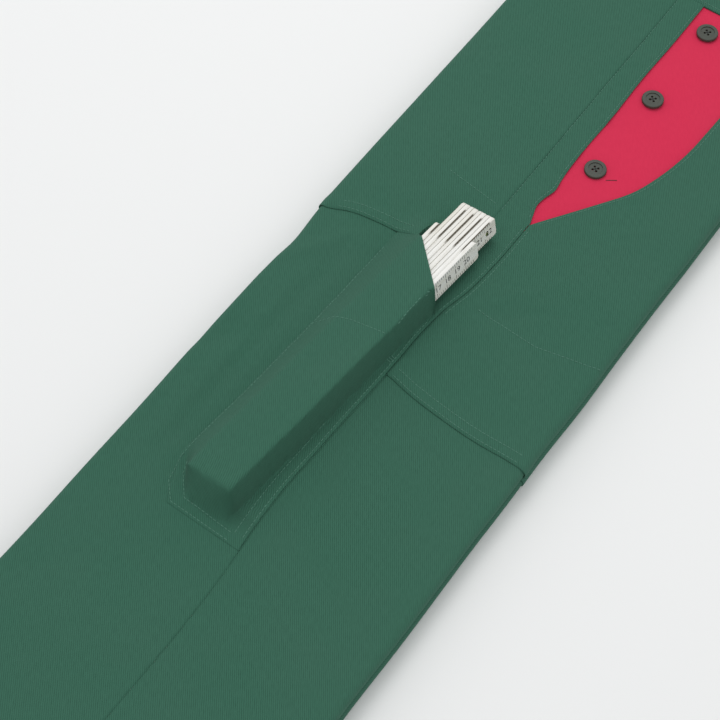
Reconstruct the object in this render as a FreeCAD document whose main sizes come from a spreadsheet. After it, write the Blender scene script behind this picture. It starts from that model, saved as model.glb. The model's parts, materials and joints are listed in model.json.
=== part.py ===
"""Full-wrap chainsaw chaps laid flat on their side, right leg cover on top of the left one.

Frame: +Y runs up the leg from hem to waist, +X towards the front of the leg, +Z up. The origin is on the
surface that the chaps lie on, under the side seam at the hem of the front overlay. Lengths are millimetres.
Each leg cover is a flat tube. A front half and a back half, each a U in cross-section, meet at the side
seam (x = 0) and at the inner seam. A folding rule stands in the right leg's rule pocket.
"""
import FreeCAD, Part
import math
import os

V = FreeCAD.Vector
Rotation = FreeCAD.Rotation
Placement = FreeCAD.Placement

DIMENSIONS = {
    # leg cover
    "front_fold": 113.8,      # side seam to the folded front edge
    "back_fold": 119.0,       # side seam to the folded back edge
    "leg_high": 10.4,         # outside height of one flattened leg tube
    "cloth": 0.8,             # one layer of outer cloth
    "lining": 0.5,
    "pad": 3.0,               # cut-protection pad
    "hem_end": -575.0,
    "hem_band": 22.0,
    "waist_end": 400.0,
    "crotch": 200.0,          # the inner walls of the tubes end here
    "pad_start": -535.0,
    "pad_end": 140.0,
    "front_overlay_start": -8.0,
    "back_overlay_start": 90.0,
    # side slit
    "slit_start": 154.0,
    "slit_open": 70.0,        # front panel's free edge, where the slit is fully open
    "slit_taper": 270.0,      # where the free edge has swung out that far
    "placket_edge": 13.0,     # back panel's edge, measured behind the side seam
    "button_radius": 8.0,
    "button_high": 2.6,
    "button_first": 222.0,
    "button_pitch": 78.0,
    "button_x": 21.7,
    # rule pocket
    "pocket_bottom": -158.0,
    "pocket_back": -73.0,
    "pocket_chamfer": 16.0,
    "tunnel_wall": 0.8,
    # folding rule
    "leaf_long": 236.0,
    "leaf_wide": 16.0,
    "leaf_thick": 3.2,
    "leaf_pitch": 3.5,
    "leaf_count": 10,
    "leaf_short": 24.5,       # how much shorter the first and last leaf are
    "leaf_round": 3.0,
    "rivet_radius": 1.5,
    "rivet_inset": 10.0,
    "rule_heading": 4.5,      # degrees off +Y, towards +X
    "rule_roll": 11.0,        # degrees, front edge up
    "rule_tip_x": -16.7,
    "rule_tip_y": 132.7,
    "rule_height": 35.8,
    # calf zips
    "zip_start": -551.0,
    "zip_long": 240.0,
    "zip_gap": 6.4,
    "tooth_pitch": 3.0,
    "tooth_wide": 1.6,
    "slider_long": 11.0,
    # belt
    "belt_wide": 40.0,
    "belt_thick": 1.4,
    "casing_high": 3.6,
    "casing_wide": 45.0,
    "buckle_start": 150.0,
    "buckle_long": 40.0,
    "buckle_wide": 50.0,
    "buckle_high": 8.6,
    "plug_body": 32.0,
    "plug_travel": 24.0,
    "belt_turn": 280.0,
}

doc = FreeCAD.newDocument("ChainsawChaps")
sheet = doc.addObject("Spreadsheet::Sheet", "Dims")
for row, (alias, value) in enumerate(DIMENSIONS.items(), start=1):
    sheet.set("A%d" % row, alias)
    sheet.set("B%d" % row, str(value))
    sheet.setAlias("B%d" % row, alias)
doc.recompute()

parts = {}                    # node name: document object


def dim(alias):
    """A driving dimension, read from the sheet."""
    return float(sheet.get(alias))


def bind(item, **expressions):
    """Tie properties to sheet expressions; x, y and z stand for the placement's position."""
    for name, text in expressions.items():
        path = "Placement.Base." + name if name in "xyz" else name
        item.setExpression(path, str(text))
    return item


def box(name, size, corner):
    """A block with its size and lowest corner given as sheet expressions."""
    item = doc.addObject("Part::Box", name)
    return bind(item, Length=size[0], Width=size[1], Height=size[2], x=corner[0], y=corner[1], z=corner[2])


def rod(name, radius, length, start, axis):
    """A cylinder along a unit axis, with its radius, length and start given as sheet expressions."""
    item = doc.addObject("Part::Cylinder", name)
    item.Placement = Placement(V(), Rotation(V(0, 0, 1), axis))
    return bind(item, Radius=radius, Height=length, x=start[0], y=start[1], z=start[2])


def fuse(name, items):
    item = doc.addObject("Part::MultiFuse", name)
    item.Shapes = items
    item.Refine = True
    return item


def cut(name, base, tools):
    """Base less every tool."""
    for number, tool in enumerate(tools):
        item = doc.addObject("Part::Cut", "%s_cut_%d" % (name, number))
        item.Base = base
        item.Tool = tool
        base = item
    return base


def prism(name, outline, low, high):
    """A vertical prism over a closed outline of (x, y) points, from one height to another."""
    edge = doc.addObject("Part::Polygon", name + "_outline")
    edge.Nodes = [V(x, y, 0) for x, y in outline]
    edge.Close = True
    item = doc.addObject("Part::Extrusion", name)
    item.Base = edge
    item.DirMode = "Custom"
    item.Dir = V(0, 0, 1)
    item.Solid = True
    item.setExpression("LengthFwd", "(%s) - (%s)" % (high, low))
    return bind(item, z=low)


def publish(node, item):
    """Name a finished sub-part after its node."""
    item.Label = node
    parts[node] = item
    return item


class Leg:
    """One leg cover: its name, the height of its middle and which way its outer side faces."""

    def __init__(self, name, outer):
        self.name = name
        self.outer = outer
        layers = 3 if outer > 0 else 1
        self.middle = "%d * (Dims.cloth + Dims.leg_high / 2)" % layers
        self.middle_z = layers * (dim("cloth") + dim("leg_high") / 2)

    def z(self, out):
        """Height of a point that lies `out` beyond the tube's middle, towards the leg's outer side."""
        return self.middle_z + self.outer * out

    def band(self, near, far):
        """Lower and upper height of a layer between two distances out from the middle."""
        return sorted((self.z(near), self.z(far)))


LEGS = (Leg("right", 1), Leg("left", -1))


def half_slab(name, leg, side, inset, start, end):
    """Solid half of the flattened tube, inset from the outer cloth, with a round fold at its far edge."""
    fold = "Dims.front_fold" if side > 0 else "Dims.back_fold"
    radius = "(Dims.leg_high / 2 - (%s))" % inset
    reach = "(%s - Dims.leg_high / 2)" % fold
    length = "(%s) - (%s)" % (end, start)
    low = "%s - %s" % (leg.middle, radius)
    corner_x = "0" if side > 0 else "-" + reach
    flat = box(name + "_flat", (reach, length, "2 * " + radius), (corner_x, start, low))
    axis_x = "%d * %s" % (side, reach)
    bend = rod(name + "_bend", radius, length, (axis_x, start, leg.middle), V(0, 1, 0))
    return fuse(name + "_slab", [flat, bend])


def half_shell(name, leg, side, inset, thick, start, end):
    """One layer of a leg half: a U in cross-section, open towards the seams."""
    outside = half_slab(name + "_out", leg, side, inset, start, end)
    inside = half_slab(name + "_in", leg, side, "%s + %s" % (inset, thick), start, end)
    return cut(name, outside, [inside])


def half_block(name, leg, facing, start):
    """Block over the outer (facing 1) or inner (-1) half of a tube, from a start to past its end."""
    low = leg.middle if facing * leg.outer > 0 else "%s - 20" % leg.middle
    return box(name, ("400", "1400", "20"), ("-200", start, low))


def slit_tool(name, leg):
    """Prism that opens the side slit in the outer wall of the front half."""
    start = dim("slit_start")
    open_x = dim("slit_open")
    top = dim("waist_end") + 20
    outline = [(-5, start), (10, start), (28, start + 28), (54, start + 68), (open_x - 4, dim("slit_taper"))]
    outline += [(open_x, dim("slit_taper") + 60), (open_x, top), (-5, top)]
    return prism(name, outline, "%s + 2" % leg.middle, "%s + 10" % leg.middle)


def placket_tool(name, leg):
    """Block that sets the back half's edge behind the seam along the slit."""
    corner = ("-Dims.placket_edge", "Dims.slit_start", "%s + 2" % leg.middle)
    return box(name, ("Dims.placket_edge", "400", "8"), corner)


def zip_slot(name, leg):
    """Block that opens the back fold along the calf zip."""
    low = "%s - Dims.zip_gap / 2" % leg.middle
    length = "Dims.zip_start + Dims.zip_long - Dims.hem_end + 5"
    return box(name, ("10", length, "Dims.zip_gap"), ("-Dims.back_fold - 3", "Dims.hem_end - 1", low))


def make_front_panel(leg):
    """Front half of the tube in one piece, round the front fold; open at the slit on the upper leg."""
    name = leg.name + "_front_panel"
    shell = half_shell(name, leg, 1, "0", "Dims.cloth", "Dims.hem_end", "Dims.waist_end")
    tools = [half_block(name + "_crotch", leg, -1, "Dims.crotch")]
    if leg.outer > 0:
        tools.append(slit_tool(name + "_slit", leg))
    publish(name, cut(name, shell, tools))


def wall_level(leg, facing):
    """Lower side of the flat part of the tube's outer (facing 1) or inner (-1) wall."""
    if facing * leg.outer > 0:
        return "%s + Dims.leg_high / 2 - Dims.cloth" % leg.middle
    return "%s - Dims.leg_high / 2" % leg.middle


def make_back_panels(leg):
    """Back half of the tube: flat outer and inner panels, joined by the strip round the back fold."""
    reach = "(Dims.back_fold - Dims.leg_high / 2)"
    for facing, half, end in ((1, "outer", "Dims.waist_end"), (-1, "inner", "Dims.crotch")):
        name = "%s_back_%s_panel" % (leg.name, half)
        panel = box(name + "_sheet", (reach, end + " - Dims.hem_end", "Dims.cloth"),
                    ("-" + reach, "Dims.hem_end", wall_level(leg, facing)))
        if facing > 0 and leg.outer > 0:
            panel = cut(name, panel, [placket_tool(name + "_placket", leg)])
        publish(name, panel)
    name = leg.name + "_back_seam_strip"
    shell = half_shell(name, leg, -1, "0", "Dims.cloth", "Dims.hem_end", "Dims.waist_end")
    flat = box(name + "_flat", (reach + " + 5", "1400", "40"), ("-" + reach, "-800", "%s - 20" % leg.middle))
    tools = [flat, zip_slot(name + "_zip", leg), half_block(name + "_crotch", leg, -1, "Dims.crotch")]
    publish(name, cut(name, shell, tools))


def outer_face(leg):
    """Lower side of the flat layer that lies on the tube's outer wall."""
    if leg.outer > 0:
        return "%s + Dims.leg_high / 2" % leg.middle
    return "%s - Dims.leg_high / 2 - Dims.cloth" % leg.middle


def make_overlays(leg):
    """Second layer of cloth over the upper part of the leg's outer side."""
    for side, half in ((1, "front"), (-1, "back")):
        name = "%s_%s_overlay" % (leg.name, half)
        reach = "(Dims.%s_fold - Dims.leg_high / 2)" % half
        start = "Dims.%s_overlay_start" % half
        layer = box(name + "_sheet", (reach, "Dims.waist_end - " + start, "Dims.cloth"),
                    ("0" if side > 0 else "-" + reach, start, outer_face(leg)))
        if leg.outer < 0:
            publish(name, layer)
            continue
        tool = slit_tool(name + "_slit", leg) if side > 0 else placket_tool(name + "_placket", leg)
        publish(name, cut(name, layer, [tool]))


def make_protection(leg):
    """Cut-protection pad in the front half, and the linings that cover it and the back half."""
    name = leg.name + "_cut_pad"
    publish(name, half_shell(name, leg, 1, "Dims.cloth", "Dims.pad", "Dims.pad_start", "Dims.pad_end"))
    name = leg.name + "_front_lining"
    under_pad = "Dims.cloth + Dims.pad"
    publish(name, half_shell(name, leg, 1, under_pad, "Dims.lining", "Dims.pad_start", "Dims.pad_end"))
    name = leg.name + "_back_lining"
    start = "Dims.zip_start + Dims.zip_long + 8"
    publish(name, half_shell(name, leg, -1, "Dims.cloth", "Dims.lining", start, "Dims.pad_end"))


def make_hem(leg):
    """Hem band at the end of the leg: a strip on its outer side and one on its inner side."""
    reach = "(Dims.back_fold - Dims.leg_high / 2)"
    long = "Dims.back_fold + Dims.front_fold - Dims.leg_high"
    name = leg.name + "_hem_band"
    strips = []
    for number, low in enumerate(("+ Dims.leg_high / 2", "- Dims.leg_high / 2 - Dims.cloth")):
        strips.append(box("%s_%d" % (name, number), (long, "Dims.hem_band", "Dims.cloth"),
                          ("-" + reach, "Dims.hem_end", "%s %s" % (leg.middle, low))))
    item = doc.addObject("Part::Compound", name)
    item.Links = strips
    publish(name, item)


def layer_block(name, leg, near, far, x_low, x_high, y_low, y_high):
    """A flat layer parallel to the outer wall, between two distances from the tube's middle."""
    low, high = leg.band(near, far)
    size = (str(x_high - x_low), str(y_high - y_low), str(high - low))
    return box(name, size, (str(x_low), str(y_low), str(low)))


def make_slit(leg):
    """Placket strip and underlap behind the side slit, with the buttons sewn to the underlap."""
    wall = dim("leg_high") / 2 - dim("cloth")
    start = dim("slit_start") - 12
    end = dim("waist_end")
    edge = dim("placket_edge")
    name = leg.name + "_placket"
    deep = 0.0 if leg.outer > 0 else 3.4
    back = -edge - 10 if leg.outer > 0 else 7
    publish(name, layer_block(name, leg, wall - 0.6, wall, -edge - 14, 6, start, end))
    name = leg.name + "_underlap"
    publish(name, layer_block(name, leg, wall - 1.2 - deep, wall - 0.6 - deep, back, 92, start + 4, end))
    make_buttons(leg, wall - 0.6 - deep)


def make_buttons(leg, seat):
    """Four-hole buttons with a rim, each on a short thread shank that stands on the underlap."""
    name = leg.name + "_buttons"
    shank = 0.3
    radius = dim("button_radius")
    high = dim("button_high")
    solids = []
    for number in range(3):
        y = dim("button_first") + number * dim("button_pitch")
        base = V(dim("button_x"), y, leg.z(seat))
        up = V(0, 0, leg.outer)
        disc = Part.makeCylinder(radius, high, base + up * shank, up)
        disc = disc.makeFillet(0.7, disc.Edges)
        dish = Part.makeCylinder(radius * 0.66, 0.7, base + up * (shank + high - 0.6), up)
        disc = disc.cut(dish)
        for hole in range(4):
            turn = math.radians(45 + 90 * hole)
            spot = base + V(math.cos(turn), math.sin(turn), 0) * (radius * 0.26)
            disc = disc.cut(Part.makeCylinder(0.9, high + 1, spot, up))
        solids.append(disc.fuse(Part.makeCylinder(1.1, shank + 0.4, base, up)))
    solid_group(name, solids)


def solid_group(name, solids):
    """Several separate solids as one sub-part."""
    item = doc.addObject("Part::Feature", name)
    item.Shape = Part.makeCompound(solids)
    return publish(name, item)


def make_zip(leg):
    """Calf zip in the back fold: tapes inside the cloth, two rows of teeth, end stops and slider."""
    start = dim("zip_start")
    end = start + dim("zip_long")
    chain_x = -dim("back_fold") - 0.05
    name = leg.name + "_zip_tapes"
    tape_end = "Dims.zip_start + Dims.zip_long + 7"
    shell = half_shell(name, leg, -1, "Dims.cloth", "Dims.lining", "Dims.zip_start", tape_end)
    below = "Dims.zip_start - 20"
    trim_corner = ("14 - Dims.back_fold", below, "%s - 20" % leg.middle)
    trim = box(name + "_trim", ("Dims.back_fold - 14", "400", "40"), trim_corner)
    slot = box(name + "_slot", ("10", "400", "1.4"), ("-Dims.back_fold - 3", below, "%s - 0.7" % leg.middle))
    publish(name, cut(name, shell, [trim, slot]))

    pitch = dim("tooth_pitch")
    tooth = V(1.6, dim("tooth_wide"), 3.0)
    rows = int(dim("zip_long") / pitch) - 1
    teeth = []
    for side in (1, -1):
        low = leg.middle_z + (-0.4 if side > 0 else 0.4 - tooth.z)
        for number in range(rows):
            y = start + (number + 1.25 - 0.25 * side) * pitch
            teeth.append(Part.makeBox(tooth.x, tooth.y * 0.8, tooth.z, V(chain_x - 0.8, y, low)))
    solid_group(leg.name + "_zip_teeth", teeth)
    stop_y = (start - 1.0, end + 0.5)
    stops = [Part.makeBox(2.0, 2.0, 6.0, V(chain_x - 1.2, y, leg.middle_z - 3.0)) for y in stop_y]
    solid_group(leg.name + "_zip_stops", stops)
    make_slider(leg, chain_x, start + 2)


def make_slider(leg, chain_x, start):
    """Slider over the teeth, and the pull tab that swings on its bridge."""
    long = dim("slider_long")
    z = leg.middle_z
    up = V(0, 0, 1)
    shell = Part.makeBox(1.4, long, 7.6, V(chain_x - 2.6, start, z - 3.8))
    shell = shell.makeFillet(0.5, shell.Edges)
    lug_y = start + long * 0.45
    bridge = V(chain_x - 4.6, lug_y, z)
    for side in (1, -1):
        rail = Part.makeBox(2.4, long, 0.6, V(chain_x - 1.8, start, z + side * 3.5 - 0.3))
        lug = Part.makeBox(3.4, 3.0, 0.9, V(chain_x - 5.6, lug_y - 1.5, z + side * 2.2 - 0.45))
        shell = shell.fuse(rail).fuse(lug)
    shell = shell.fuse(Part.makeCylinder(0.6, 4.4, bridge - up * 2.2, up))
    item = doc.addObject("Part::Feature", leg.name + "_zip_slider")
    item.Shape = shell.removeSplitter()
    publish(leg.name + "_zip_slider", item)

    tab = Part.makeBox(1.0, 24.0, 3.0, bridge - V(1.3, 24.0, 1.5))
    tab = tab.fuse(Part.makeCylinder(1.5, 3.0, bridge - up * 1.5, up))
    tab = tab.cut(Part.makeCylinder(0.85, 5.0, bridge - up * 2.5, up))
    item = doc.addObject("Part::Feature", leg.name + "_zip_pull")
    item.Shape = tab.removeSplitter()
    publish(leg.name + "_zip_pull", item)


def polygon_sketch(body, name, outline, offset):
    """Closed outline on the body's XZ plane, moved along the plane's normal by `offset`."""
    sketch = body.newObject("Sketcher::SketchObject", name)
    plane = [item for item in body.Origin.OriginFeatures if item.Role == "XZ_Plane"][0]
    sketch.AttachmentSupport = [(plane, "")]
    sketch.MapMode = "FlatFace"
    sketch.setExpression("AttachmentOffset.Base.z", str(offset))
    corners = [V(x, z, 0) for x, z in outline]
    for near, far in zip(corners, corners[1:] + corners[:1]):
        sketch.addGeometry(Part.LineSegment(near, far))
    return sketch


def rule_tip():
    return V(dim("rule_tip_x"), dim("rule_tip_y"), dim("rule_height"))


def heading():
    return Rotation(V(0, 0, 1), -dim("rule_heading"))


def tunnel_outline(grow):
    """Cross-section of the pocket's sleeve: round the rolled rule, standing on the leg, grown by `grow`."""
    roll = math.radians(dim("rule_roll"))
    half_wide = dim("leaf_pitch") * dim("leaf_count") / 2 + 1.2
    half_high = dim("leaf_wide") / 2 + 1.2
    floor = 2 * (2 * dim("cloth") + dim("leg_high")) - dim("rule_height")

    def corner(across, up):
        return across * math.cos(roll) - up * math.sin(roll), across * math.sin(roll) + up * math.cos(roll)

    left_x, left_z = corner(-half_wide, half_high)
    right_x, right_z = corner(half_wide, half_high)
    foot_x = corner(half_wide, -half_high)[0] + 1.5
    return [(left_x - grow, floor), (left_x - grow, left_z + grow), (right_x + grow / 2, right_z + grow),
            (foot_x + grow, floor)]


def make_pocket():
    """Rule pocket on the right leg: a flat patch sewn to the leg and a raised sleeve with a slanted mouth."""
    wall = dim("tunnel_wall")
    body = doc.addObject("PartDesign::Body", "pocket_sleeve")
    body.Placement = Placement(rule_tip(), heading())
    outside = polygon_sketch(body, "sleeve_outside", tunnel_outline(wall), "20")
    sleeve = body.newObject("PartDesign::Pad", "sleeve_solid")
    sleeve.Profile = outside
    sleeve.setExpression("Length", "Dims.leaf_long + 29")
    inside = polygon_sketch(body, "sleeve_inside", tunnel_outline(0), "19")
    doc.recompute()
    solid_volume = sleeve.Shape.Volume
    hollow = body.newObject("PartDesign::Pocket", "sleeve_hollow")
    hollow.Profile = inside
    hollow.Reversed = True
    hollow.setExpression("Length", "Dims.leaf_long + 28.6")
    doc.recompute()
    if hollow.Shape.Volume > solid_volume / 2:
        raise RuntimeError("the pocket's sleeve isn't hollow")

    level = 2 * (2 * dim("cloth") + dim("leg_high"))
    mouth = [(-80, 132), (40, 22.5), (40, 200), (-80, 200)]
    open_sleeve = cut("sleeve_mouth", body, [prism("mouth_tool", mouth, str(level + 40), str(level - 0.1))])
    low = dim("pocket_bottom")
    back = dim("pocket_back")
    chamfer = dim("pocket_chamfer")
    patch = [(back + chamfer * 0.9, low), (-1, low), (-1, 88), (back + 10, 88), (back, low + 2 * chamfer)]
    patch = prism("pocket_patch", patch, str(level - dim("cloth")), str(level))
    publish("rule_pocket", fuse("rule_pocket_joined", [patch, open_sleeve]))


def leaf_solid(number):
    """One wooden leaf, with round ends and its rivet holes, in the rule's own frame."""
    last = dim("leaf_count") - 1
    outer = number in (0, last)
    name = "leaf_%02d" % (number + 1)
    short = "Dims.leaf_short" if outer else "0"
    left = "(%d - Dims.leaf_count / 2) * Dims.leaf_pitch + (Dims.leaf_pitch - Dims.leaf_thick) / 2" % number
    blank = box(name + "_blank", ("Dims.leaf_thick", "Dims.leaf_long - " + short, "Dims.leaf_wide"),
                (left, "-Dims.leaf_long", "-Dims.leaf_wide / 2"))
    doc.recompute()
    rounded = doc.addObject("Part::Fillet", name + "_rounded")
    rounded.Base = blank
    radius = dim("leaf_round")
    across = [index for index, edge in enumerate(blank.Shape.Edges, start=1)
              if abs(edge.tangentAt(edge.FirstParameter).x) > 0.99]
    rounded.Edges = [(index, radius, radius) for index in across]
    holes = ["Dims.rivet_inset - Dims.leaf_long"]
    if not outer:
        holes.append("-Dims.rivet_inset")
    tools = []
    for index, y in enumerate(holes):
        start = (left + " - 1", y, "0")
        hole = "%s_hole_%d" % (name, index)
        tools.append(rod(hole, "Dims.rivet_radius + 0.05", "Dims.leaf_pitch + 2", start, V(1, 0, 0)))
    return cut(name + "_drilled", rounded, tools)


def make_rule():
    """Folding rule: leaves side by side, riveted in pairs at alternate ends, with joint plates between."""
    pose = Placement(rule_tip(), heading().multiply(Rotation(V(0, 1, 0), -dim("rule_roll"))))
    count = int(dim("leaf_count"))
    for number in range(count):
        leaf = leaf_solid(number)
        leaf.Placement = pose
        publish("rule_leaf_%02d" % (number + 1), leaf)

    pitch = dim("leaf_pitch")
    gap = pitch - dim("leaf_thick")
    along = V(1, 0, 0)
    plates = []
    rivets = []
    for number in range(count - 1):
        at_tip = number % 2 == 1
        y = -dim("rivet_inset") if at_tip else dim("rivet_inset") - dim("leaf_long")
        seam = (number + 1 - count / 2) * pitch
        plate = Part.makeCylinder(6, gap, V(seam - gap / 2, y, 0), along)
        plates.append(plate.cut(Part.makeCylinder(dim("rivet_radius") + 0.05, 4, V(seam - 2, y, 0), along)))
        start = seam - pitch + gap / 2
        rivets.append(Part.makeCylinder(dim("rivet_radius"), 2 * pitch - gap, V(start, y, 0), along))
    solid_group("rule_joint_plates", plates).Placement = pose
    solid_group("rule_rivets", rivets).Placement = pose


def belt_levels():
    """Heights of the belt's middle in the right and left casing."""
    half = dim("casing_high") / 2
    return 2 * (2 * dim("cloth") + dim("leg_high")) - half, half


def make_waistbands():
    """Flat casing at each leg cover's waist, which the belt runs through."""
    for leg, level in zip(LEGS, belt_levels()):
        name = leg.name + "_waistband"
        length = "Dims.back_fold + Dims.front_fold"
        outside = box(name + "_outside", (length, "Dims.casing_wide", "Dims.casing_high"),
                      ("-Dims.back_fold", "Dims.waist_end", "%s - Dims.casing_high / 2" % level))
        floor = "%s + Dims.cloth - Dims.casing_high / 2" % level
        inside = (length + " + 2", "Dims.casing_wide - 3", "Dims.casing_high - 2 * Dims.cloth")
        tunnel = box(name + "_tunnel", inside,
                     ("-Dims.back_fold - 1", "Dims.waist_end + 1.5", floor))
        publish(name, cut(name, outside, [tunnel]))


def smooth_path(points, radius):
    """Straight runs through (x, z) points, joined by tangent arcs, as a wire at the belt's lower edge."""
    y = dim("waist_end") + (dim("casing_wide") - dim("belt_wide")) / 2
    corners = [V(x, y, z) for x, z in points]
    edges = []
    last = corners[0]
    for before, here, after in zip(corners, corners[1:], corners[2:]):
        inward = (before - here).normalize()
        outward = (after - here).normalize()
        half_turn = inward.getAngle(outward) / 2
        reach = min(radius / math.tan(half_turn), 0.45 * (before - here).Length, 0.45 * (after - here).Length)
        start = here + inward * reach
        end = here + outward * reach
        bisector = (inward + outward).normalize()
        size = reach * math.tan(half_turn)
        middle = here + bisector * (size / math.sin(half_turn) - size)
        edges += [Part.LineSegment(last, start).toShape(), Part.Arc(start, middle, end).toShape()]
        last = end
    edges.append(Part.LineSegment(last, corners[-1]).toShape())
    return Part.Wire(edges)


def make_belt():
    """Webbing through both casings: folded back behind the legs, and round to the buckle in front of them."""
    high, low = belt_levels()
    back = -dim("back_fold") - 26
    turn = dim("belt_turn")
    over = low + 5.0
    start = dim("buckle_start") + 4
    end = start + dim("buckle_long") + dim("plug_body") + dim("plug_travel") + 1
    points = [(start, over), (start - 16, over), (dim("front_fold") + 6, high), (back, high), (back, low),
              (turn, low), (turn, over), (end, over)]
    path = smooth_path(points, 12)
    half = dim("belt_thick") / 2
    first = path.Edges[0].valueAt(path.Edges[0].FirstParameter)
    profile = Part.makePolygon([first + V(0, 0, -half), first + V(0, 0, half),
                                first + V(0, dim("belt_wide"), half), first + V(0, dim("belt_wide"), -half),
                                first + V(0, 0, -half)])
    item = doc.addObject("Part::Feature", "belt_webbing")
    item.Shape = path.makePipeShell([profile], True, True)
    publish("belt_webbing", item)


def make_buckle():
    """Side-release buckle: the socket on one end of the belt and the plug, with its two prongs, in it."""
    middle_y = dim("waist_end") + dim("casing_wide") / 2
    middle_z = belt_levels()[1] + 5.0
    wide = dim("buckle_wide")
    high = dim("buckle_high")
    long = dim("buckle_long")
    x = dim("buckle_start")
    low = V(x, middle_y - wide / 2, middle_z - high / 2)
    socket = Part.makeBox(long, wide, high, low)
    socket = socket.makeFillet(2.0, [edge for edge in socket.Edges if abs(edge.tangentAt(0).z) > 0.9])
    hollow = Part.makeBox(long - 12, wide - 6, high - 3, low + V(12.01, 3, 1.5))
    windows = Part.makeBox(14, wide + 2, high - 4, low + V(17, -1, 2))
    slot_wide = dim("belt_wide") + 1.4
    slot_high = dim("belt_thick") + 0.8
    slot = Part.makeBox(9, slot_wide, slot_high, low + V(-1, (wide - slot_wide) / 2, (high - slot_high) / 2))
    item = doc.addObject("Part::Feature", "buckle_socket")
    item.Shape = socket.cut(hollow).cut(windows).cut(slot)
    publish("buckle_socket", item)

    mouth = x + long
    plug = Part.makeBox(dim("plug_body"), wide, high, V(mouth + 0.4, low.y, low.z))
    plug = plug.makeFillet(2.0, [edge for edge in plug.Edges if abs(edge.tangentAt(0).z) > 0.9])
    window_wide = dim("belt_wide") + 2
    for start in (9, 21):
        corner = V(mouth + start, middle_y - window_wide / 2, low.z - 1)
        plug = plug.cut(Part.makeBox(7, window_wide, high + 2, corner))
    for side in (1, -1):
        prong_y = middle_y + side * (wide / 2 - 7.2) - 3.5
        prong = Part.makeBox(26, 7, high - 4.4, V(mouth - 25, prong_y, low.z + 2.2))
        plug = plug.fuse(prong)
    guide = Part.makeBox(22, 8, high - 5, V(mouth - 21, middle_y - 4, low.z + 2.5))
    item = doc.addObject("Part::Feature", "buckle_plug")
    item.Shape = plug.fuse(guide).removeSplitter()
    publish("buckle_plug", item)


def check_and_write():
    """Stop on anything failed or empty, then write one STEP file for each sub-part."""
    doc.recompute()
    for item in doc.Objects:
        if "Invalid" in item.State or "Error" in item.State:
            raise RuntimeError("%s failed: %s" % (item.Name, item.State))
    os.makedirs("parts", exist_ok=True)
    for node, item in parts.items():
        if item.Shape.isNull() or not item.Shape.isValid() or not item.Shape.Solids:
            raise RuntimeError("%s has no valid solid" % node)
        item.Shape.exportStep("parts/%s.step" % node)
        print("%-22s %2d solids %9.1f mm3" % (node, len(item.Shape.Solids), item.Shape.Volume))


for leg in LEGS:
    make_front_panel(leg)
    make_back_panels(leg)
    make_overlays(leg)
    make_protection(leg)
    make_hem(leg)
    make_slit(leg)
    make_zip(leg)
make_pocket()
make_rule()
make_waistbands()
make_belt()
make_buckle()
check_and_write()
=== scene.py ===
"""The looks of the full-wrap chainsaw chaps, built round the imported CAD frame.

Lengths are metres. +Y runs up the leg, +X towards its front, +Z up. Cloth pieces are thick sheets made from
a grid of points. Each follows a leg tube's profile: the outer wall, the fold and the inner wall.
"""
import json
import math

import bmesh
import bpy
import numpy as np
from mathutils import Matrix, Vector
from mathutils.bvhtree import BVHTree


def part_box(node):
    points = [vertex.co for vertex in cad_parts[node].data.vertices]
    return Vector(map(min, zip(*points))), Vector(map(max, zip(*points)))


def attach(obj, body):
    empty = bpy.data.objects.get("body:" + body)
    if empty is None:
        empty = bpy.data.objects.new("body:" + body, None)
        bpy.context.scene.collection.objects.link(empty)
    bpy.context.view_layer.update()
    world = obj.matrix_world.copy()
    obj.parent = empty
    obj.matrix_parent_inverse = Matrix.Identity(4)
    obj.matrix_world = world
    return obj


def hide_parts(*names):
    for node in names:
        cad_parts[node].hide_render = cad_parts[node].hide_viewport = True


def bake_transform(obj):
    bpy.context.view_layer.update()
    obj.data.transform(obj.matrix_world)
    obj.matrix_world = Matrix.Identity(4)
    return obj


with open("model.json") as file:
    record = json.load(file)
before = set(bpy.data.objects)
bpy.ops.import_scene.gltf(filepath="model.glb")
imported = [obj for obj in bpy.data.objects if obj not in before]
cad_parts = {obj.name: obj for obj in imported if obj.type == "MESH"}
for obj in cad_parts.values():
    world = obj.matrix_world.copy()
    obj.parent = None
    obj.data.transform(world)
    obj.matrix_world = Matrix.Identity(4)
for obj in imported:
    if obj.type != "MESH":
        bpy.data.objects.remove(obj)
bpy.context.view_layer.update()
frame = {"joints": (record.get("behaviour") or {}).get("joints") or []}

MM = 0.001
RIGHT, LEFT = "right", "left"
COVERS = "leg_covers"

# ---------------------------------------------------------------- sizes read from the frame


def span(node):
    """Lowest and highest corner of a CAD node, as arrays."""
    low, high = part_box(node)
    return np.array(low), np.array(high)


FRONT_LOW, FRONT_HIGH = span("right_front_panel")
OVERLAY_LOW, OVERLAY_HIGH = span("right_front_overlay")
CLOTH = OVERLAY_HIGH[2] - OVERLAY_LOW[2]
HEM_END = FRONT_LOW[1]
WAIST_END = FRONT_HIGH[1]
FRONT_FOLD = FRONT_HIGH[0]
BACK_FOLD = -span("right_back_seam_strip")[0][0]
LEG_HIGH = FRONT_HIGH[2] - FRONT_LOW[2]
BEND = LEG_HIGH / 2
CROTCH = span("right_back_inner_panel")[1][1]
RIGHT_MIDDLE = (FRONT_LOW[2] + FRONT_HIGH[2]) / 2
TUBE_MIDDLE = {RIGHT: RIGHT_MIDDLE, LEFT: OVERLAY_HIGH[2] - RIGHT_MIDDLE}
OUTER = {RIGHT: 1.0, LEFT: -1.0}
LEG_SEED = {RIGHT: 11, LEFT: 51}
UNEVEN = {RIGHT: 1.0, LEFT: 0.15}

# ---------------------------------------------------------------- small tools


def smooth(value, low, high):
    """0 below low, 1 above high, and a smooth step between."""
    t = np.clip((value - low) / (high - low), 0.0, 1.0)
    return t * t * (3 - 2 * t)


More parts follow.
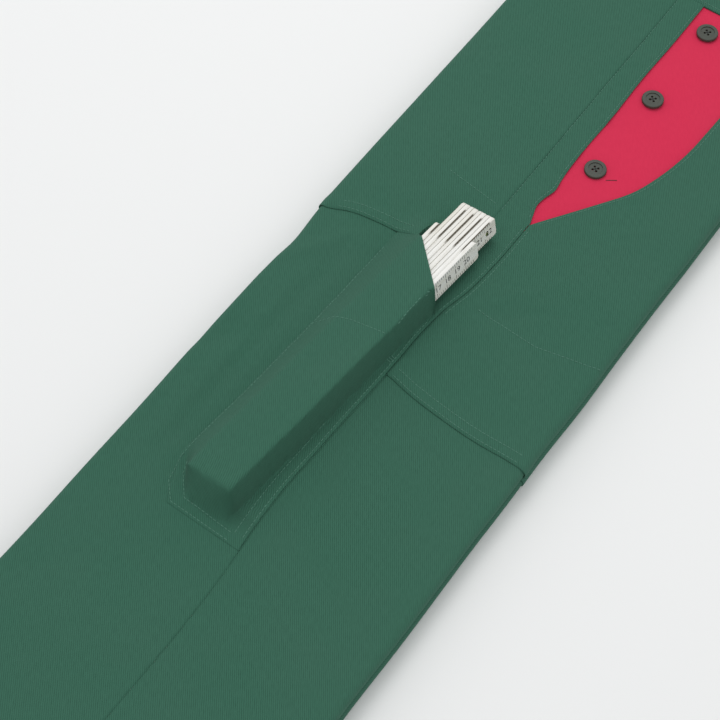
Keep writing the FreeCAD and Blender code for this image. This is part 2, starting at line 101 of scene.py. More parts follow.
def curve_through(points):
    """Function of y through (y, x) points in mm, as a smooth cubic (Catmull-Rom) line, in metres."""
    ys = np.array([p[0] for p in points], float) * MM
    xs = np.array([p[1] for p in points], float) * MM
    slopes = np.gradient(xs, ys)

    def at(y):
        y = np.clip(np.asarray(y, float), ys[0], ys[-1])
        i = np.clip(np.searchsorted(ys, y) - 1, 0, len(ys) - 2)
        width = ys[i + 1] - ys[i]
        t = (y - ys[i]) / width
        a = (2 * t**3 - 3 * t**2 + 1) * xs[i] + (t**3 - 2 * t**2 + t) * width * slopes[i]
        return a + (3 * t**2 - 2 * t**3) * xs[i + 1] + (t**3 - t**2) * width * slopes[i + 1]

    return at


def ripple(x, y, size, seed, octaves=3):
    """Smooth seeded noise of about -1 to 1: a sum of plane waves with wavelengths near `size`."""
    rng = np.random.default_rng(seed)
    total = np.zeros_like(x * y, dtype=float)
    weight = 0.0
    for octave in range(octaves):
        for _ in range(5):
            angle = rng.uniform(0, math.tau)
            wave = size / 1.7**octave * rng.uniform(0.75, 1.35)
            phase = rng.uniform(0, math.tau)
            way = x * math.cos(angle) + y * math.sin(angle)
            total += np.sin(way * math.tau / wave + phase) / 1.8**octave
        weight += 5 / 1.8**octave
    return total / weight * 1.8


def rows_between(start, end, step):
    """Evenly spaced values from start to end, about a step apart."""
    return np.linspace(start, end, max(2, int(round(abs(end - start) / step)) + 1))


def new_mesh(name, points, faces, body, uvs=None):
    """A mesh object with smooth faces that rides on a body, or on none yet."""
    mesh = bpy.data.meshes.new(name)
    mesh.from_pydata([tuple(p) for p in points], [], faces)
    mesh.validate()
    mesh.polygons.foreach_set("use_smooth", [True] * len(mesh.polygons))
    if uvs is not None:
        layer = mesh.uv_layers.new(name="cloth")
        index = np.empty(len(mesh.loops), dtype=np.int32)
        mesh.loops.foreach_get("vertex_index", index)
        layer.data.foreach_set("uv", np.asarray(uvs, float)[index].ravel())
    mesh.set_sharp_from_angle(angle=math.radians(50))
    piece = bpy.data.objects.new(name, mesh)
    bpy.context.scene.collection.objects.link(piece)
    if body:
        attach(piece, body)
    return piece


def thick_sheet(name, points, uv, thick, body):
    """Closed sheet of cloth: a grid of outer points, given a thickness along the inward normal."""
    rows, columns, _ = points.shape
    across = np.gradient(points, axis=1)
    along = np.gradient(points, axis=0)
    normal = np.cross(across, along)
    normal /= np.maximum(np.linalg.norm(normal, axis=2, keepdims=True), 1e-12)
    under = points - normal * thick
    count = rows * columns
    corners = np.concatenate([points.reshape(-1, 3), under.reshape(-1, 3)])
    grid = np.arange(count).reshape(rows, columns)
    a, b, c, d = grid[:-1, :-1], grid[:-1, 1:], grid[1:, 1:], grid[1:, :-1]
    top = np.stack([a, b, c, d], axis=-1).reshape(-1, 4)
    bottom = np.stack([a, d, c, b], axis=-1).reshape(-1, 4) + count
    rim = np.concatenate([grid[0, :], grid[1:, -1], grid[-1, -2::-1], grid[-2:0:-1, 0]])
    following = np.roll(rim, -1)
    sides = np.stack([rim, rim + count, following + count, following], axis=-1)
    faces = np.concatenate([top, bottom, sides]).tolist()
    flat_uv = uv.reshape(-1, 2)
    return new_mesh(name, corners, faces, body, np.concatenate([flat_uv, flat_uv]))


# ---------------------------------------------------------------- the flattened leg tube


ZIP_TOP = (-0.29, -0.24)
FOLD_WAVE = 0.7 * MM
TUCK_DEPTH = 2.8 * MM
TUCK_MIDDLE = 50 * MM
TUCK_REACH = 24 * MM


def fold_pull(leg, side, y):
    """How far a folded edge is drawn in: a little above the zip, most below the right back overlay."""
    wavy = FOLD_WAVE * (1 + ripple(0 * y, y, 0.16, 61 + 2 * side, octaves=2)) * smooth(y, *ZIP_TOP)
    if leg == RIGHT and side < 0:
        wavy = wavy + TUCK_DEPTH * np.exp(-((y - TUCK_MIDDLE) / TUCK_REACH) ** 2)
    return np.maximum(wavy, 0)


def tube_point(leg, side, reach, y, out):
    """Point on a leg's profile. `reach` is measured round the profile from the seam, `out` outwards from the
    outer cloth's outer face."""
    fold = (FRONT_FOLD if side > 0 else BACK_FOLD) - BEND
    radius = BEND + out
    turn = np.clip((reach - fold) / BEND, 0.0, math.pi)
    back = np.maximum(reach - fold - math.pi * BEND, 0.0)
    x = np.minimum(reach, fold) + radius * np.sin(turn) - back
    z = radius * np.cos(turn)
    x = x - fold_pull(leg, side, y) * smooth(x, 60 * MM, fold)
    return np.stack([side * x, y + 0 * reach, TUBE_MIDDLE[leg] + OUTER[leg] * z], axis=-1)


FRONT_WAY_ROUND = (FRONT_FOLD - BEND) + math.pi * BEND
BACK_WAY_ROUND = (BACK_FOLD - BEND) + math.pi * BEND
INNER_STEP = 8 * MM

# Lines across the outer face, as (y, x) points in mm
seam_line = curve_through([(-600, 0), (-300, 3), (-179, 1.7), (-125, -3), (-65, -2.6), (0, 0), (42, 0.5),
                           (60, 2), (82, 7), (112, 9.7), (155, 10.2), (420, 10.2)])
free_edge = curve_through([(150, 8), (155, 10.5), (168, 19), (182, 28.5), (200, 41), (222, 54.5), (245, 62),
                           (268, 66.5), (300, 69), (350, 70), (420, 70)])
placket_line = curve_through([(140, 9.5), (155, 10.2), (163, 7.8), (172, 5.4), (181, 6.4), (189, 8.4),
                              (202, 7.2), (236, 6.1), (270, 6.6), (310, 5.8), (360, 6.4), (420, 6)])
SLIT_START = 0.1545
PLACKET_EDGE = 0.013


def leg_relief(x, y, seed):
    """Gentle unevenness of the cloth as it lies on the table."""
    broad = 0.8 * MM * ripple(x, y, 0.13, seed)
    middling = 0.34 * MM * ripple(x, y, 0.05, seed + 7)
    return broad + middling + 0.08 * MM * ripple(x, 0.6 * y, 0.02, seed + 9)


def edge_roll(distance, width=1.6 * MM, drop=0.7 * MM):
    """How far a sewn edge turns down: 0 inside the sheet and `drop` at the edge itself."""
    return -drop * (1 - smooth(distance, 0.0, width)) ** 2


def puckers(x, y, line, seed, high=0.22 * MM, reach=7 * MM):
    """Small ripples that a row of stitching pulls up beside a line, dying away from it."""
    beside = np.exp(-np.abs(x - line(y)) / reach)
    return high * beside * ripple(0.35 * x, y, 9 * MM, seed, octaves=2)


def crease(x, y, start, end, width, high):
    """A soft fold along a line between two (x, y) points, in mm; negative heights are hollows."""
    ax, ay, bx, by = (v * MM for v in (*start, *end))
    long = math.hypot(bx - ax, by - ay)
    along = ((x - ax) * (bx - ax) + (y - ay) * (by - ay)) / long
    off = ((x - ax) * (by - ay) - (y - ay) * (bx - ax)) / long
    ends = smooth(along, -0.3 * long, 0.3 * long) * (1 - smooth(along, 0.7 * long, 1.3 * long))
    return high * MM * ends * np.exp(-(off / (width * MM)) ** 2)


# Soft folds of the upper leg: the two ends as (x, y), the half width and the height, all in mm.
FRONT_CREASES = (
    ((20, 82), (52, 120), 4, 1.2),
    ((26, 74), (66, 104), 4.5, -1.1),
    ((14, 44), (44, 72), 5, 0.7),
    ((60, 150), (104, 120), 9, 1.0),
    ((20, -60), (60, -110), 12, 0.6),
    ((84, -30), (112, -62), 7, -0.7),
    ((30, -200), (95, -262), 14, 0.8),
)
BACK_CREASES = (
    ((-86, -125), (-83, 62), 6, -1.2),
    ((-98, -130), (-92, 20), 6, 0.8),
    ((-84, 78), (-116, 34), 6, 1.2),
    ((-92, -20), (-116, -52), 8, -1.3),
    ((-70, -172), (-40, -230), 10, -0.8),
)


def creased(x, y, creases):
    """Sum of several soft folds."""
    return sum(crease(x, y, *one) for one in creases)


def panel(name, leg, side, start, end, near, far, lift, thick, roll=True, step=3.2 * MM, extra=None):
    """Sheet over one half of a leg: from the line `near`(y) by the seam, round the profile to `far`.
    `start`(x) is its lower hem and `end` its upper end. `lift` is the height of its outer face above the leg's
    outer cloth, and `extra`(x, y) adds to that."""
    fold = (FRONT_FOLD if side > 0 else BACK_FOLD) - BEND
    rows = rows_between(0.0, 1.0, step / (end - float(start(side * 0.05))))
    rows = np.unique(np.concatenate([rows, [0.7 * MM, 1.5 * MM]]))[:, None]
    marks = np.unique(np.concatenate([[0, 0.004, 0.009, 0.016], rows_between(0.0, 1.0, step / fold)]))
    bend_steps = rows_between(0.0, min(far - fold, math.pi * BEND), 1.4 * MM)[1:]
    inner = far - fold - math.pi * BEND
    inner_steps = rows_between(0.0, inner, INNER_STEP)[1:] if inner > 0 else np.array([])
    tail = np.concatenate([bend_steps, math.pi * BEND + inner_steps])
    flat_far = min(far, fold)
    reach = np.repeat(np.concatenate([flat_far * marks, fold + tail])[None, :], len(rows), axis=0)
    for _ in range(4):
        low = start(side * np.minimum(reach, fold))
        y = low + rows * (end - low)
        edge = side * near(y[:, : len(marks)])
        reach[:, : len(marks)] = edge + (flat_far - edge) * marks[None, :]
    x = side * reach
    on_top = 1 - smooth(reach, fold - 8 * MM, fold + 2 * MM)
    out = lift + UNEVEN[leg] * leg_relief(x, y, LEG_SEED[leg]) * on_top
    if roll:
        out = out + edge_roll(reach - side * near(y))
    if extra is not None:
        out = out + extra(x, y)
    if leg == LEFT:
        out = np.minimum(out, CLOTH)
    points = tube_point(leg, side, reach, y, out)
    if side * OUTER[leg] < 0:
        points = points[:, ::-1]
        reach = reach[:, ::-1]
        y = y[:, ::-1]
    return thick_sheet(name, points, np.stack([side * reach, y], axis=-1), thick, COVERS)


# ---------------------------------------------------------------- materials


def node_material(name):
    """A new node material: the material, its tree and its main shader."""
    made = bpy.data.materials.new(name)
    made.use_nodes = True
    tree = made.node_tree
    return made, tree, tree.nodes["Principled BSDF"]


def link(tree, output, socket):
    """Wire one socket to another."""
    tree.links.new(output, socket)


def add(tree, kind, **settings):
    """New node, with its inputs or properties set by name."""
    node = tree.nodes.new(kind)
    for key, value in settings.items():
        if key in node.inputs:
            node.inputs[key].default_value = value
        else:
            setattr(node, key, value)
    return node


def scaled(tree, source, scale, turn=0.0):
    """Coordinates scaled by (x, y, z) and turned about Z."""
    mapping = add(tree, "ShaderNodeMapping")
    mapping.inputs["Scale"].default_value = scale
    mapping.inputs["Rotation"].default_value = (0, 0, turn)
    link(tree, source, mapping.inputs["Vector"])
    return mapping.outputs["Vector"]


def mixed(tree, factor, first, second):
    """Colour mix. Each of factor, first and second is a socket or a constant."""
    node = add(tree, "ShaderNodeMix", data_type="RGBA")
    for value, socket in ((factor, node.inputs[0]), (first, node.inputs[6]), (second, node.inputs[7])):
        if hasattr(value, "links"):
            link(tree, value, socket)
        else:
            socket.default_value = value
    return node.outputs[2]


def ranged(tree, value, low, high, to_low, to_high):
    """A value moved from one range to another."""
    node = add(tree, "ShaderNodeMapRange")
    node.inputs["From Min"].default_value = low
    node.inputs["From Max"].default_value = high
    node.inputs["To Min"].default_value = to_low
    node.inputs["To Max"].default_value = to_high
    link(tree, value, node.inputs["Value"])
    return node.outputs["Result"]


def combined(tree, operation, first, second):
    """Result of a math node on two sockets."""
    node = add(tree, "ShaderNodeMath", operation=operation)
    link(tree, first, node.inputs[0])
    link(tree, second, node.inputs[1])
    return node.outputs[0]


def roughen(tree, shader, height, strength, distance):
    """Bump on a shader's surface from a height socket."""
    relief = add(tree, "ShaderNodeBump", Strength=strength, Distance=distance)
    link(tree, height, relief.inputs["Height"])
    link(tree, relief.outputs["Normal"], shader.inputs["Normal"])


def noise(tree, source, scale, detail):
    """Noise socket at a scale, read at the source coordinates."""
    node = add(tree, "ShaderNodeTexNoise", Scale=scale, Detail=detail)
    link(tree, source, node.inputs["Vector"])
    return node.outputs["Fac"]


def rgba(colour, gain=1.0):
    """Colour with full alpha, made lighter or darker by a gain."""
    return tuple(channel * gain for channel in colour) + (1.0,)


TWILL_ANGLE = math.radians(-36)


def cloth_material(name, colour, twill=1.25 * MM, contrast=0.2, bump=0.6, fade=0.05):
    """Woven cloth: diagonal twill ribs, cross threads, slubs, soft patches of wear and a dusty sheen."""
    made, tree, shader = node_material(name)
    source = add(tree, "ShaderNodeUVMap", uv_map="cloth").outputs["UV"]
    turned = scaled(tree, source, (1, 1, 1), TWILL_ANGLE)
    rib = add(tree, "ShaderNodeTexWave", wave_type="BANDS", bands_direction="X", wave_profile="SIN")
    rib.inputs["Scale"].default_value = 0.314 / twill
    rib.inputs["Distortion"].default_value = 1.1
    rib.inputs["Detail"].default_value = 2.0
    rib.inputs["Detail Scale"].default_value = 0.6
    link(tree, turned, rib.inputs["Vector"])
    slub = add(tree, "ShaderNodeTexNoise", Scale=1.0, Detail=3.0, Roughness=0.6)
    link(tree, scaled(tree, turned, (800, 170, 170)), slub.inputs["Vector"])
    thread = noise(tree, source, 2600.0, 2.0)
    patch = add(tree, "ShaderNodeTexNoise", Scale=14.0, Detail=4.0, Roughness=0.55)
    link(tree, source, patch.inputs["Vector"])

    dark = rgba(colour, 1 - contrast)
    light = rgba(colour, 1 + contrast)
    faded = rgba([channel * 0.6 + 0.08 for channel in colour])
    weave = mixed(tree, ranged(tree, rib.outputs["Fac"], 0.15, 0.85, 0, 1), dark, light)
    slubs = mixed(tree, ranged(tree, slub.outputs["Fac"], 0.35, 0.68, 0, 0.55), weave, light)
    worn = mixed(tree, ranged(tree, patch.outputs["Fac"], 0.35, 0.7, 0, fade), slubs, faded)
    link(tree, worn, shader.inputs["Base Color"])
    link(tree, ranged(tree, slub.outputs["Fac"], 0.3, 0.7, 0.92, 0.78), shader.inputs["Roughness"])
    shader.inputs["Sheen Weight"].default_value = 0.03
    shader.inputs["Sheen Roughness"].default_value = 0.6
    shader.inputs["Specular IOR Level"].default_value = 0.12

    threads = ranged(tree, thread, 0.3, 0.7, 0, 0.5)
    roughen(tree, shader, combined(tree, "ADD", rib.outputs["Fac"], threads), bump, 0.16 * MM)
    return made


def plain_material(name, colour, roughness, metallic=0.0, grain=900.0, bump=0.12):
    """Moulded or metal finish: fine grain, slight colour drift and uneven gloss."""
    made, tree, shader = node_material(name)
    source = add(tree, "ShaderNodeTexCoord").outputs["Object"]
    fine = noise(tree, source, grain, 4.0)
    drift = ranged(tree, noise(tree, source, grain / 14, 3.0), 0.3, 0.7, 0, 1)
    link(tree, mixed(tree, drift, rgba(colour, 0.88), rgba(colour, 1.12)), shader.inputs["Base Color"])
    gloss = ranged(tree, fine, 0.3, 0.7, roughness * 0.85, min(1.0, roughness * 1.2))
    link(tree, gloss, shader.inputs["Roughness"])
    shader.inputs["Metallic"].default_value = metallic
    roughen(tree, shader, fine, bump, 0.1 * MM)
    return made


GREEN = (0.036, 0.118, 0.078)
CRIMSON = (0.62, 0.026, 0.075)
GREEN_TWILL = cloth_material("green_twill", GREEN)
CRIMSON_CLOTH = cloth_material("crimson_cloth", CRIMSON, twill=0.7 * MM, contrast=0.07, bump=0.2, fade=0.04)
LINING_CLOTH = cloth_material("lining_cloth", (0.05, 0.06, 0.062), twill=0.6 * MM, contrast=0.08, bump=0.15)
PAD_CLOTH = cloth_material("pad_cloth", (0.72, 0.7, 0.62), twill=2.2 * MM, contrast=0.1, bump=0.5)
WEBBING = cloth_material("webbing", (0.02, 0.022, 0.021), twill=2 * MM, contrast=0.3, bump=0.8)
ZIP_TAPE = cloth_material("zip_tape", (0.022, 0.034, 0.028), twill=0.9 * MM, contrast=0.25, bump=0.5)
THREAD = plain_material("green_thread", (0.08, 0.205, 0.148), 0.75, grain=4000.0, bump=0.3)
BUTTON_THREAD = plain_material("button_thread", (0.02, 0.024, 0.022), 0.75, grain=4000.0, bump=0.3)
BUTTON_PLASTIC = plain_material("button_plastic", (0.04, 0.046, 0.033), 0.5, grain=1500.0, bump=0.05)
BRASS = plain_material("brass", (0.66, 0.5, 0.2), 0.35, metallic=1.0)
NICKEL = plain_material("nickel", (0.33, 0.33, 0.32), 0.33, metallic=1.0)
ZIP_PLASTIC = plain_material("zip_plastic", (0.028, 0.03, 0.029), 0.4)
BUCKLE_PLASTIC = plain_material("buckle_plastic", (0.026, 0.027, 0.027), 0.48, grain=1800.0, bump=0.25)
INK = plain_material("rule_ink", (0.02, 0.02, 0.02), 0.6)


def dress(piece, material):
    """Give a piece its one material."""
    piece.data.materials.clear()
    piece.data.materials.append(material)
    return piece


# ---------------------------------------------------------------- rule pocket

RULE_ROLL = math.radians(11)
RULE_HALF_WIDE = 17.35 * MM
RULE_HALF_HIGH = 8 * MM
RULE_DEEPER = 35 * MM
POCKET_ROOM = 1.3 * MM
POCKET_FOOT = 20.2 * MM


def rule_frame():
    """Middle of the rule's tip, and the directions across it and up through it."""
    slide = next(joint for joint in frame["joints"] if joint["name"] == "rule_slide")
    along = Vector(slide["axis"]).normalized()
    level = Vector((along.y, -along.x, 0))
    across = level * math.cos(RULE_ROLL) + Vector((0, 0, 1)) * math.sin(RULE_ROLL)
    up = across.cross(along)
    middle_leaves = (span("rule_leaf_05"), span("rule_leaf_06"))
    low = np.minimum(middle_leaves[0][0], middle_leaves[1][0])
    high = np.maximum(middle_leaves[0][1], middle_leaves[1][1])
    centre = Vector(((low + high) / 2).tolist())
    both_wide = 7 * MM
    half_long = (high[1] - low[1] - both_wide * along.x) / along.y / 2
    return centre + along * half_long, along, level, across, up, 2 * half_long


RULE_TIP, RULE_ALONG, RULE_LEVEL, RULE_ACROSS, RULE_UP, RULE_LONG = rule_frame()

POCKET_LEFT = curve_through([(-158, -57), (-152, -61.5), (-145, -66), (-127, -72.5), (-108, -71.5), (-71, -68),
                             (-44, -66.5), (0, -64), (40, -62.5), (80, -61), (110, -60)])
STITCH_INSET = 8.5 * MM
POCKET_BOTTOM = -158 * MM
MOUTH_LEFT = (-44 * MM, 99 * MM)
MOUTH_RIGHT = (-3.0 * MM, 58 * MM)
POCKET_TOP = MOUTH_LEFT[1] - 0.3 * MM


def mouth_x(y):
    """The pocket's slanted mouth, as x for a height y."""
    slope = (MOUTH_RIGHT[0] - MOUTH_LEFT[0]) / (MOUTH_RIGHT[1] - MOUTH_LEFT[1])
    return MOUTH_LEFT[0] + (y - MOUTH_LEFT[1]) * slope


def rule_top(x, y):
    """Height of the rule's top over the leg's outer cloth (-1 beside it), and the place across the rule."""
    px, py = x - RULE_TIP.x, y - RULE_TIP.y
    u = px * RULE_LEVEL.x + py * RULE_LEVEL.y
    s = px * RULE_ALONG.x + py * RULE_ALONG.y
    cos, sin = math.cos(RULE_ROLL), math.sin(RULE_ROLL)
    wide, high = RULE_HALF_WIDE + POCKET_ROOM, RULE_HALF_HIGH + POCKET_ROOM
    left_u = -wide * cos - high * sin
    top_u = wide * cos - high * sin
    right_u = wide * cos + high * sin
    left_z = -wide * sin + high * cos
    top_z = wide * sin + high * cos
    right_z = wide * sin - high * cos
    height = np.interp(u, [left_u, top_u, right_u], [left_z, top_z, right_z])
    inside = (u > left_u) & (u < right_u) & (s < 0) & (s > -RULE_LONG - RULE_DEEPER)
    above = RULE_TIP.z + height - (TUBE_MIDDLE[RIGHT] + BEND)
    return np.where(inside, above, -1.0), u


def neighbours(grid):
    """Sum of the four neighbours of every inner cell."""
    return grid[:-2, 1:-1] + grid[2:, 1:-1] + grid[1:-1, :-2] + grid[1:-1, 2:]


def pocket_relief():
    """Height map of the pocket's cloth: a taut skin from the stitching up over the rule, then softened."""
    grid = 1.0 * MM
    xs = np.arange(-80 * MM, 8 * MM, grid)
    ys = np.arange(-164 * MM, 106 * MM, grid)
    x, y = np.meshgrid(xs, ys)
    top, u = rule_top(x, y)
    bottom_line = POCKET_BOTTOM + STITCH_INSET - 0.04 * (x + 30 * MM)
    cut_corner = (x + 64.5 * MM) * 1.32 + (y + 129.5 * MM) < 0
    sewn = (x < POCKET_LEFT(y) + 1.0 * MM) | (u > POCKET_FOOT) | (y < bottom_line) | cut_corner
    beyond = x > mouth_x(y)
    free = ~sewn & ~beyond
    obstacle = np.where(free, np.maximum(top + 0.3 * MM, CLOTH), CLOTH)
    height = obstacle.copy()
    valid = (~beyond).astype(float)
    count = np.maximum(neighbours(np.pad(valid, 1)), 1)
    for _ in range(1800):
        relaxed = neighbours(np.pad(height * valid, 1)) / count
        height = np.where(free, np.maximum(relaxed, obstacle), height)
    for row, cut_off in enumerate(beyond):
        last = np.flatnonzero(~cut_off)[-1]
        height[row, last:] = height[row, last]
    for _ in range(7):
        soft = (neighbours(np.pad(height, 1, mode="edge")) + 4 * height) / 8
        height = np.where(free, np.maximum(soft, obstacle - 0.9 * MM), height)
    return xs, ys, height


POCKET_XS, POCKET_YS, POCKET_MAP = pocket_relief()


def pocket_height(x, y):
    """Pocket cloth's outer face above the leg's outer cloth, read from the height map."""
    column = np.clip((x - POCKET_XS[0]) / (POCKET_XS[1] - POCKET_XS[0]), 0, len(POCKET_XS) - 1.001)
    row = np.clip((y - POCKET_YS[0]) / (POCKET_YS[1] - POCKET_YS[0]), 0, len(POCKET_YS) - 1.001)
    i, j = column.astype(int), row.astype(int)
    a, b = column - i, row - j
    low = POCKET_MAP[j, i] * (1 - a) + POCKET_MAP[j, i + 1] * a
    high = POCKET_MAP[j + 1, i] * (1 - a) + POCKET_MAP[j + 1, i + 1] * a
    return low * (1 - b) + high * b


# ---------------------------------------------------------------- leg covers

front_hem = curve_through([(-5, -1.0), (1, -1.3), (20, -4.9), (45, -7.7), (74, -8.7), (104, -7.6),
                           (125, -9.5)])
back_hem = curve_through([(-130, 83), (-114.5, 84), (-97, 91), (-75, 95), (-52, 95.8), (-44, 95.2), (-36, 88),
                          (-20, 76), (0, 58), (15, 50)])


SEAM_GAP = 0.5 * MM
OVERLAY_LAP = 12 * MM


def level_line(value):
    """A straight line across or along the leg, at one value."""
    return lambda along: np.full(np.shape(along), float(value))


def hem_swell(distance, high=0.5 * MM, wide=11 * MM):
    """A turned-up hem: fuller for its width, thin again at its very edge."""
    return high * (1 - smooth(distance, wide * 0.8, wide * 1.15)) * smooth(distance, -0.5 * MM, 1.2 * MM)


def cloth_piece(piece, material, nodes):
    """Finish a sheet: its material in its one slot, with the CAD nodes it stands for hidden."""
    dress(piece, material)
    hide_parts(*nodes)
    return piece


def make_leg(leg):
    """Green cloth of one leg: front and back panels, and the second layer over the thigh."""
    right = leg == RIGHT
    seed = LEG_SEED[leg]
    far_front = FRONT_WAY_ROUND + FRONT_FOLD - BEND - SEAM_GAP
    far_back = BACK_WAY_ROUND + BACK_FOLD - BEND - SEAM_GAP

    def seam_front(y):
        return np.where(y > SLIT_START, free_edge(y), seam_line(y)) if right else seam_line(y)

    def seam_back(y):
        to_placket = smooth(y, SLIT_START - 6 * MM, SLIT_START + 1 * MM)
        return seam_line(y) * (1 - to_placket) - PLACKET_EDGE * to_placket if right else seam_line(y)

    def front_extra(x, y):
        high = puckers(x, y, seam_line, seed + 1)
        if right:
            high = high + creased(x, y, FRONT_CREASES)
        return high

    def back_extra(x, y):
        high = puckers(x, y, seam_line, seed + 2)
        if right:
            high = high + creased(x, y, BACK_CREASES)
        return high

    front = panel(leg + "_front_cloth", leg, 1, level_line(HEM_END), WAIST_END, seam_front, far_front, 0.0,
                  CLOTH, extra=front_extra)
    trim_above_crotch(front, leg)
    cloth_piece(front, GREEN_TWILL, [leg + "_front_panel"])
    back = panel(leg + "_back_cloth", leg, -1, level_line(HEM_END), WAIST_END, seam_back, far_back, 0.0, CLOTH,
                 extra=back_extra)
    trim_above_crotch(back, leg)
    nodes = [leg + "_back_outer_panel", leg + "_back_inner_panel", leg + "_back_seam_strip"]
    cloth_piece(back, GREEN_TWILL, nodes)

    def front_over(x, y):
        swell = hem_swell(y - front_hem(x))
        return front_extra(x, y) + swell + edge_roll(y - front_hem(x), 1.2 * MM, 0.35 * MM)

    def back_over(x, y):
        swell = hem_swell(y - back_hem(x)) * (1 - smooth(x, -46 * MM, -40 * MM))
        high = back_extra(x, y) + swell + edge_roll(y - back_hem(x), 1.2 * MM, 0.35 * MM)
        if right:
            high = high + over_pocket(x, y)
        return high

    over = panel(leg + "_front_over", leg, 1, front_hem, WAIST_END, seam_front,
                 FRONT_WAY_ROUND + OVERLAY_LAP, CLOTH, CLOTH * 0.95, extra=front_over)
    cloth_piece(over, GREEN_TWILL, [leg + "_front_overlay"])
    over_edge = level_line(-PLACKET_EDGE) if right else seam_back
    over = panel(leg + "_back_over", leg, -1, back_hem, WAIST_END, over_edge,
                 BACK_WAY_ROUND + OVERLAY_LAP, CLOTH, CLOTH * 0.95, extra=back_over)
    cloth_piece(over, GREEN_TWILL, [leg + "_back_overlay"])


def over_pocket(x, y):
    """How far the back overlay is lifted by the top end of the rule pocket, which lies under its hem."""
    covered = np.maximum(pocket_height(x, np.minimum(y, POCKET_TOP)) - CLOTH, 0)
    fall = 1 - smooth(y, POCKET_TOP, POCKET_TOP + 26 * MM)
    before_mouth = 1 - smooth(x, -44.5 * MM, -40.5 * MM)
    return (covered + 0.5 * MM) * fall * before_mouth * smooth(x, -66 * MM, -60 * MM)


def trim_above_crotch(piece, leg):
    """Take away the inner wall above the crotch."""
    mesh = piece.data
    work = bmesh.new()
    work.from_mesh(mesh)
    middle = TUBE_MIDDLE[leg]
    gone = [vert for vert in work.verts
            if vert.co.y > CROTCH + 1 * MM and (vert.co.z - middle) * OUTER[leg] < -0.3 * MM]
    bmesh.ops.delete(work, geom=gone, context="VERTS")
    open_edges = [edge for edge in work.edges if edge.is_boundary]
    bmesh.ops.holes_fill(work, edges=open_edges, sides=0)
    work.to_mesh(mesh)
    work.free()


HEM_WIDE = 22 * MM


def make_hem_band(leg):
    """Hem turned up round the end of the leg, over both halves."""
    top = level_line(HEM_END - 1 * MM)
    end = HEM_END + HEM_WIDE
    for side, half in ((1, "front"), (-1, "back")):
        fold = FRONT_FOLD if side > 0 else BACK_FOLD
        far = (FRONT_WAY_ROUND if side > 0 else BACK_WAY_ROUND) + fold - BEND - SEAM_GAP

        def swell(x, y):
            return edge_roll(np.minimum(y - HEM_END + 1.4 * MM, end - y + 0.4 * MM), 1.4 * MM, 0.3 * MM)

        band = panel("%s_hem_%s" % (leg, half), leg, side, top, end, seam_line, far, CLOTH,
                     CLOTH * 0.9, step=2.4 * MM, extra=swell)
        cloth_piece(band, GREEN_TWILL, [leg + "_hem_band"])


PAD_LAYERS = 4
PAD_LAYER_PITCH = 0.74 * MM
LINING_THICK = 0.4 * MM


def make_inside(leg):
    """Cut-protection pad and linings inside the tube."""
    low, high = span(leg + "_cut_pad")
    far = FRONT_WAY_ROUND + FRONT_FOLD - BEND - 2 * MM
    for layer in range(PAD_LAYERS):
        lift = -CLOTH - 0.15 * MM - layer * PAD_LAYER_PITCH
        step_in = layer * 1.5 * MM
        sheet = panel("%s_pad_layer_%d" % (leg, layer + 1), leg, 1, level_line(low[1] + step_in),
                      high[1] - step_in, level_line(2 * MM), far, lift, 0.6 * MM, step=9 * MM, roll=False)
        dress(sheet, PAD_CLOTH)
        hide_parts(leg + "_cut_pad")
    low, high = span(leg + "_front_lining")
    sheet = panel(leg + "_front_lining_cloth", leg, 1, level_line(low[1] - 8 * MM), high[1] + 4 * MM,
                  level_line(1 * MM), far, -CLOTH - 3.15 * MM, LINING_THICK, step=7 * MM, roll=False)
    cloth_piece(sheet, LINING_CLOTH, [leg + "_front_lining"])
    low, high = span(leg + "_back_lining")
    far = BACK_WAY_ROUND + BACK_FOLD - BEND - 2 * MM
    sheet = panel(leg + "_back_lining_cloth", leg, -1, level_line(low[1]), high[1], level_line(-1 * MM), far,
                  -CLOTH - 0.9 * MM, LINING_THICK, step=7 * MM, roll=False)
    cloth_piece(sheet, LINING_CLOTH, [leg + "_back_lining"])


def flat_sheet(name, leg, start, end, left, right, height, thick, step=2.5 * MM):
    """Sheet on the leg's outer side between two edge lines, its face `height`(x, y) above the outer cloth."""
    ys = rows_between(start, end, step)[:, None]
    marks = rows_between(0.0, 1.0, step / (right(end) - left(end)))
    marks = np.unique(np.concatenate([marks, [0.006, 0.014, 0.986, 0.994]]))[None, :]
    x = left(ys) + (right(ys) - left(ys)) * marks
    y = ys + 0 * x
    z = TUBE_MIDDLE[leg] + OUTER[leg] * (BEND + height(x, y))
    points = np.stack([x, y, z], axis=-1)
    if OUTER[leg] < 0:
        points, x, y = points[:, ::-1], x[:, ::-1], y[:, ::-1]
    return thick_sheet(name, points, np.stack([x, y], axis=-1), thick, COVERS)


UNDERLAP_OUT = -(BEND - (span("right_underlap")[1][2] - TUBE_MIDDLE[RIGHT]))


PLACKET_START = 48 * MM


def placket_edge(y):
    """Free edge of the right placket strip: on the seam below the slit, and over the underlap beside it."""
    return np.where(y < SLIT_START, seam_line(y) - 0.4 * MM, placket_line(y))


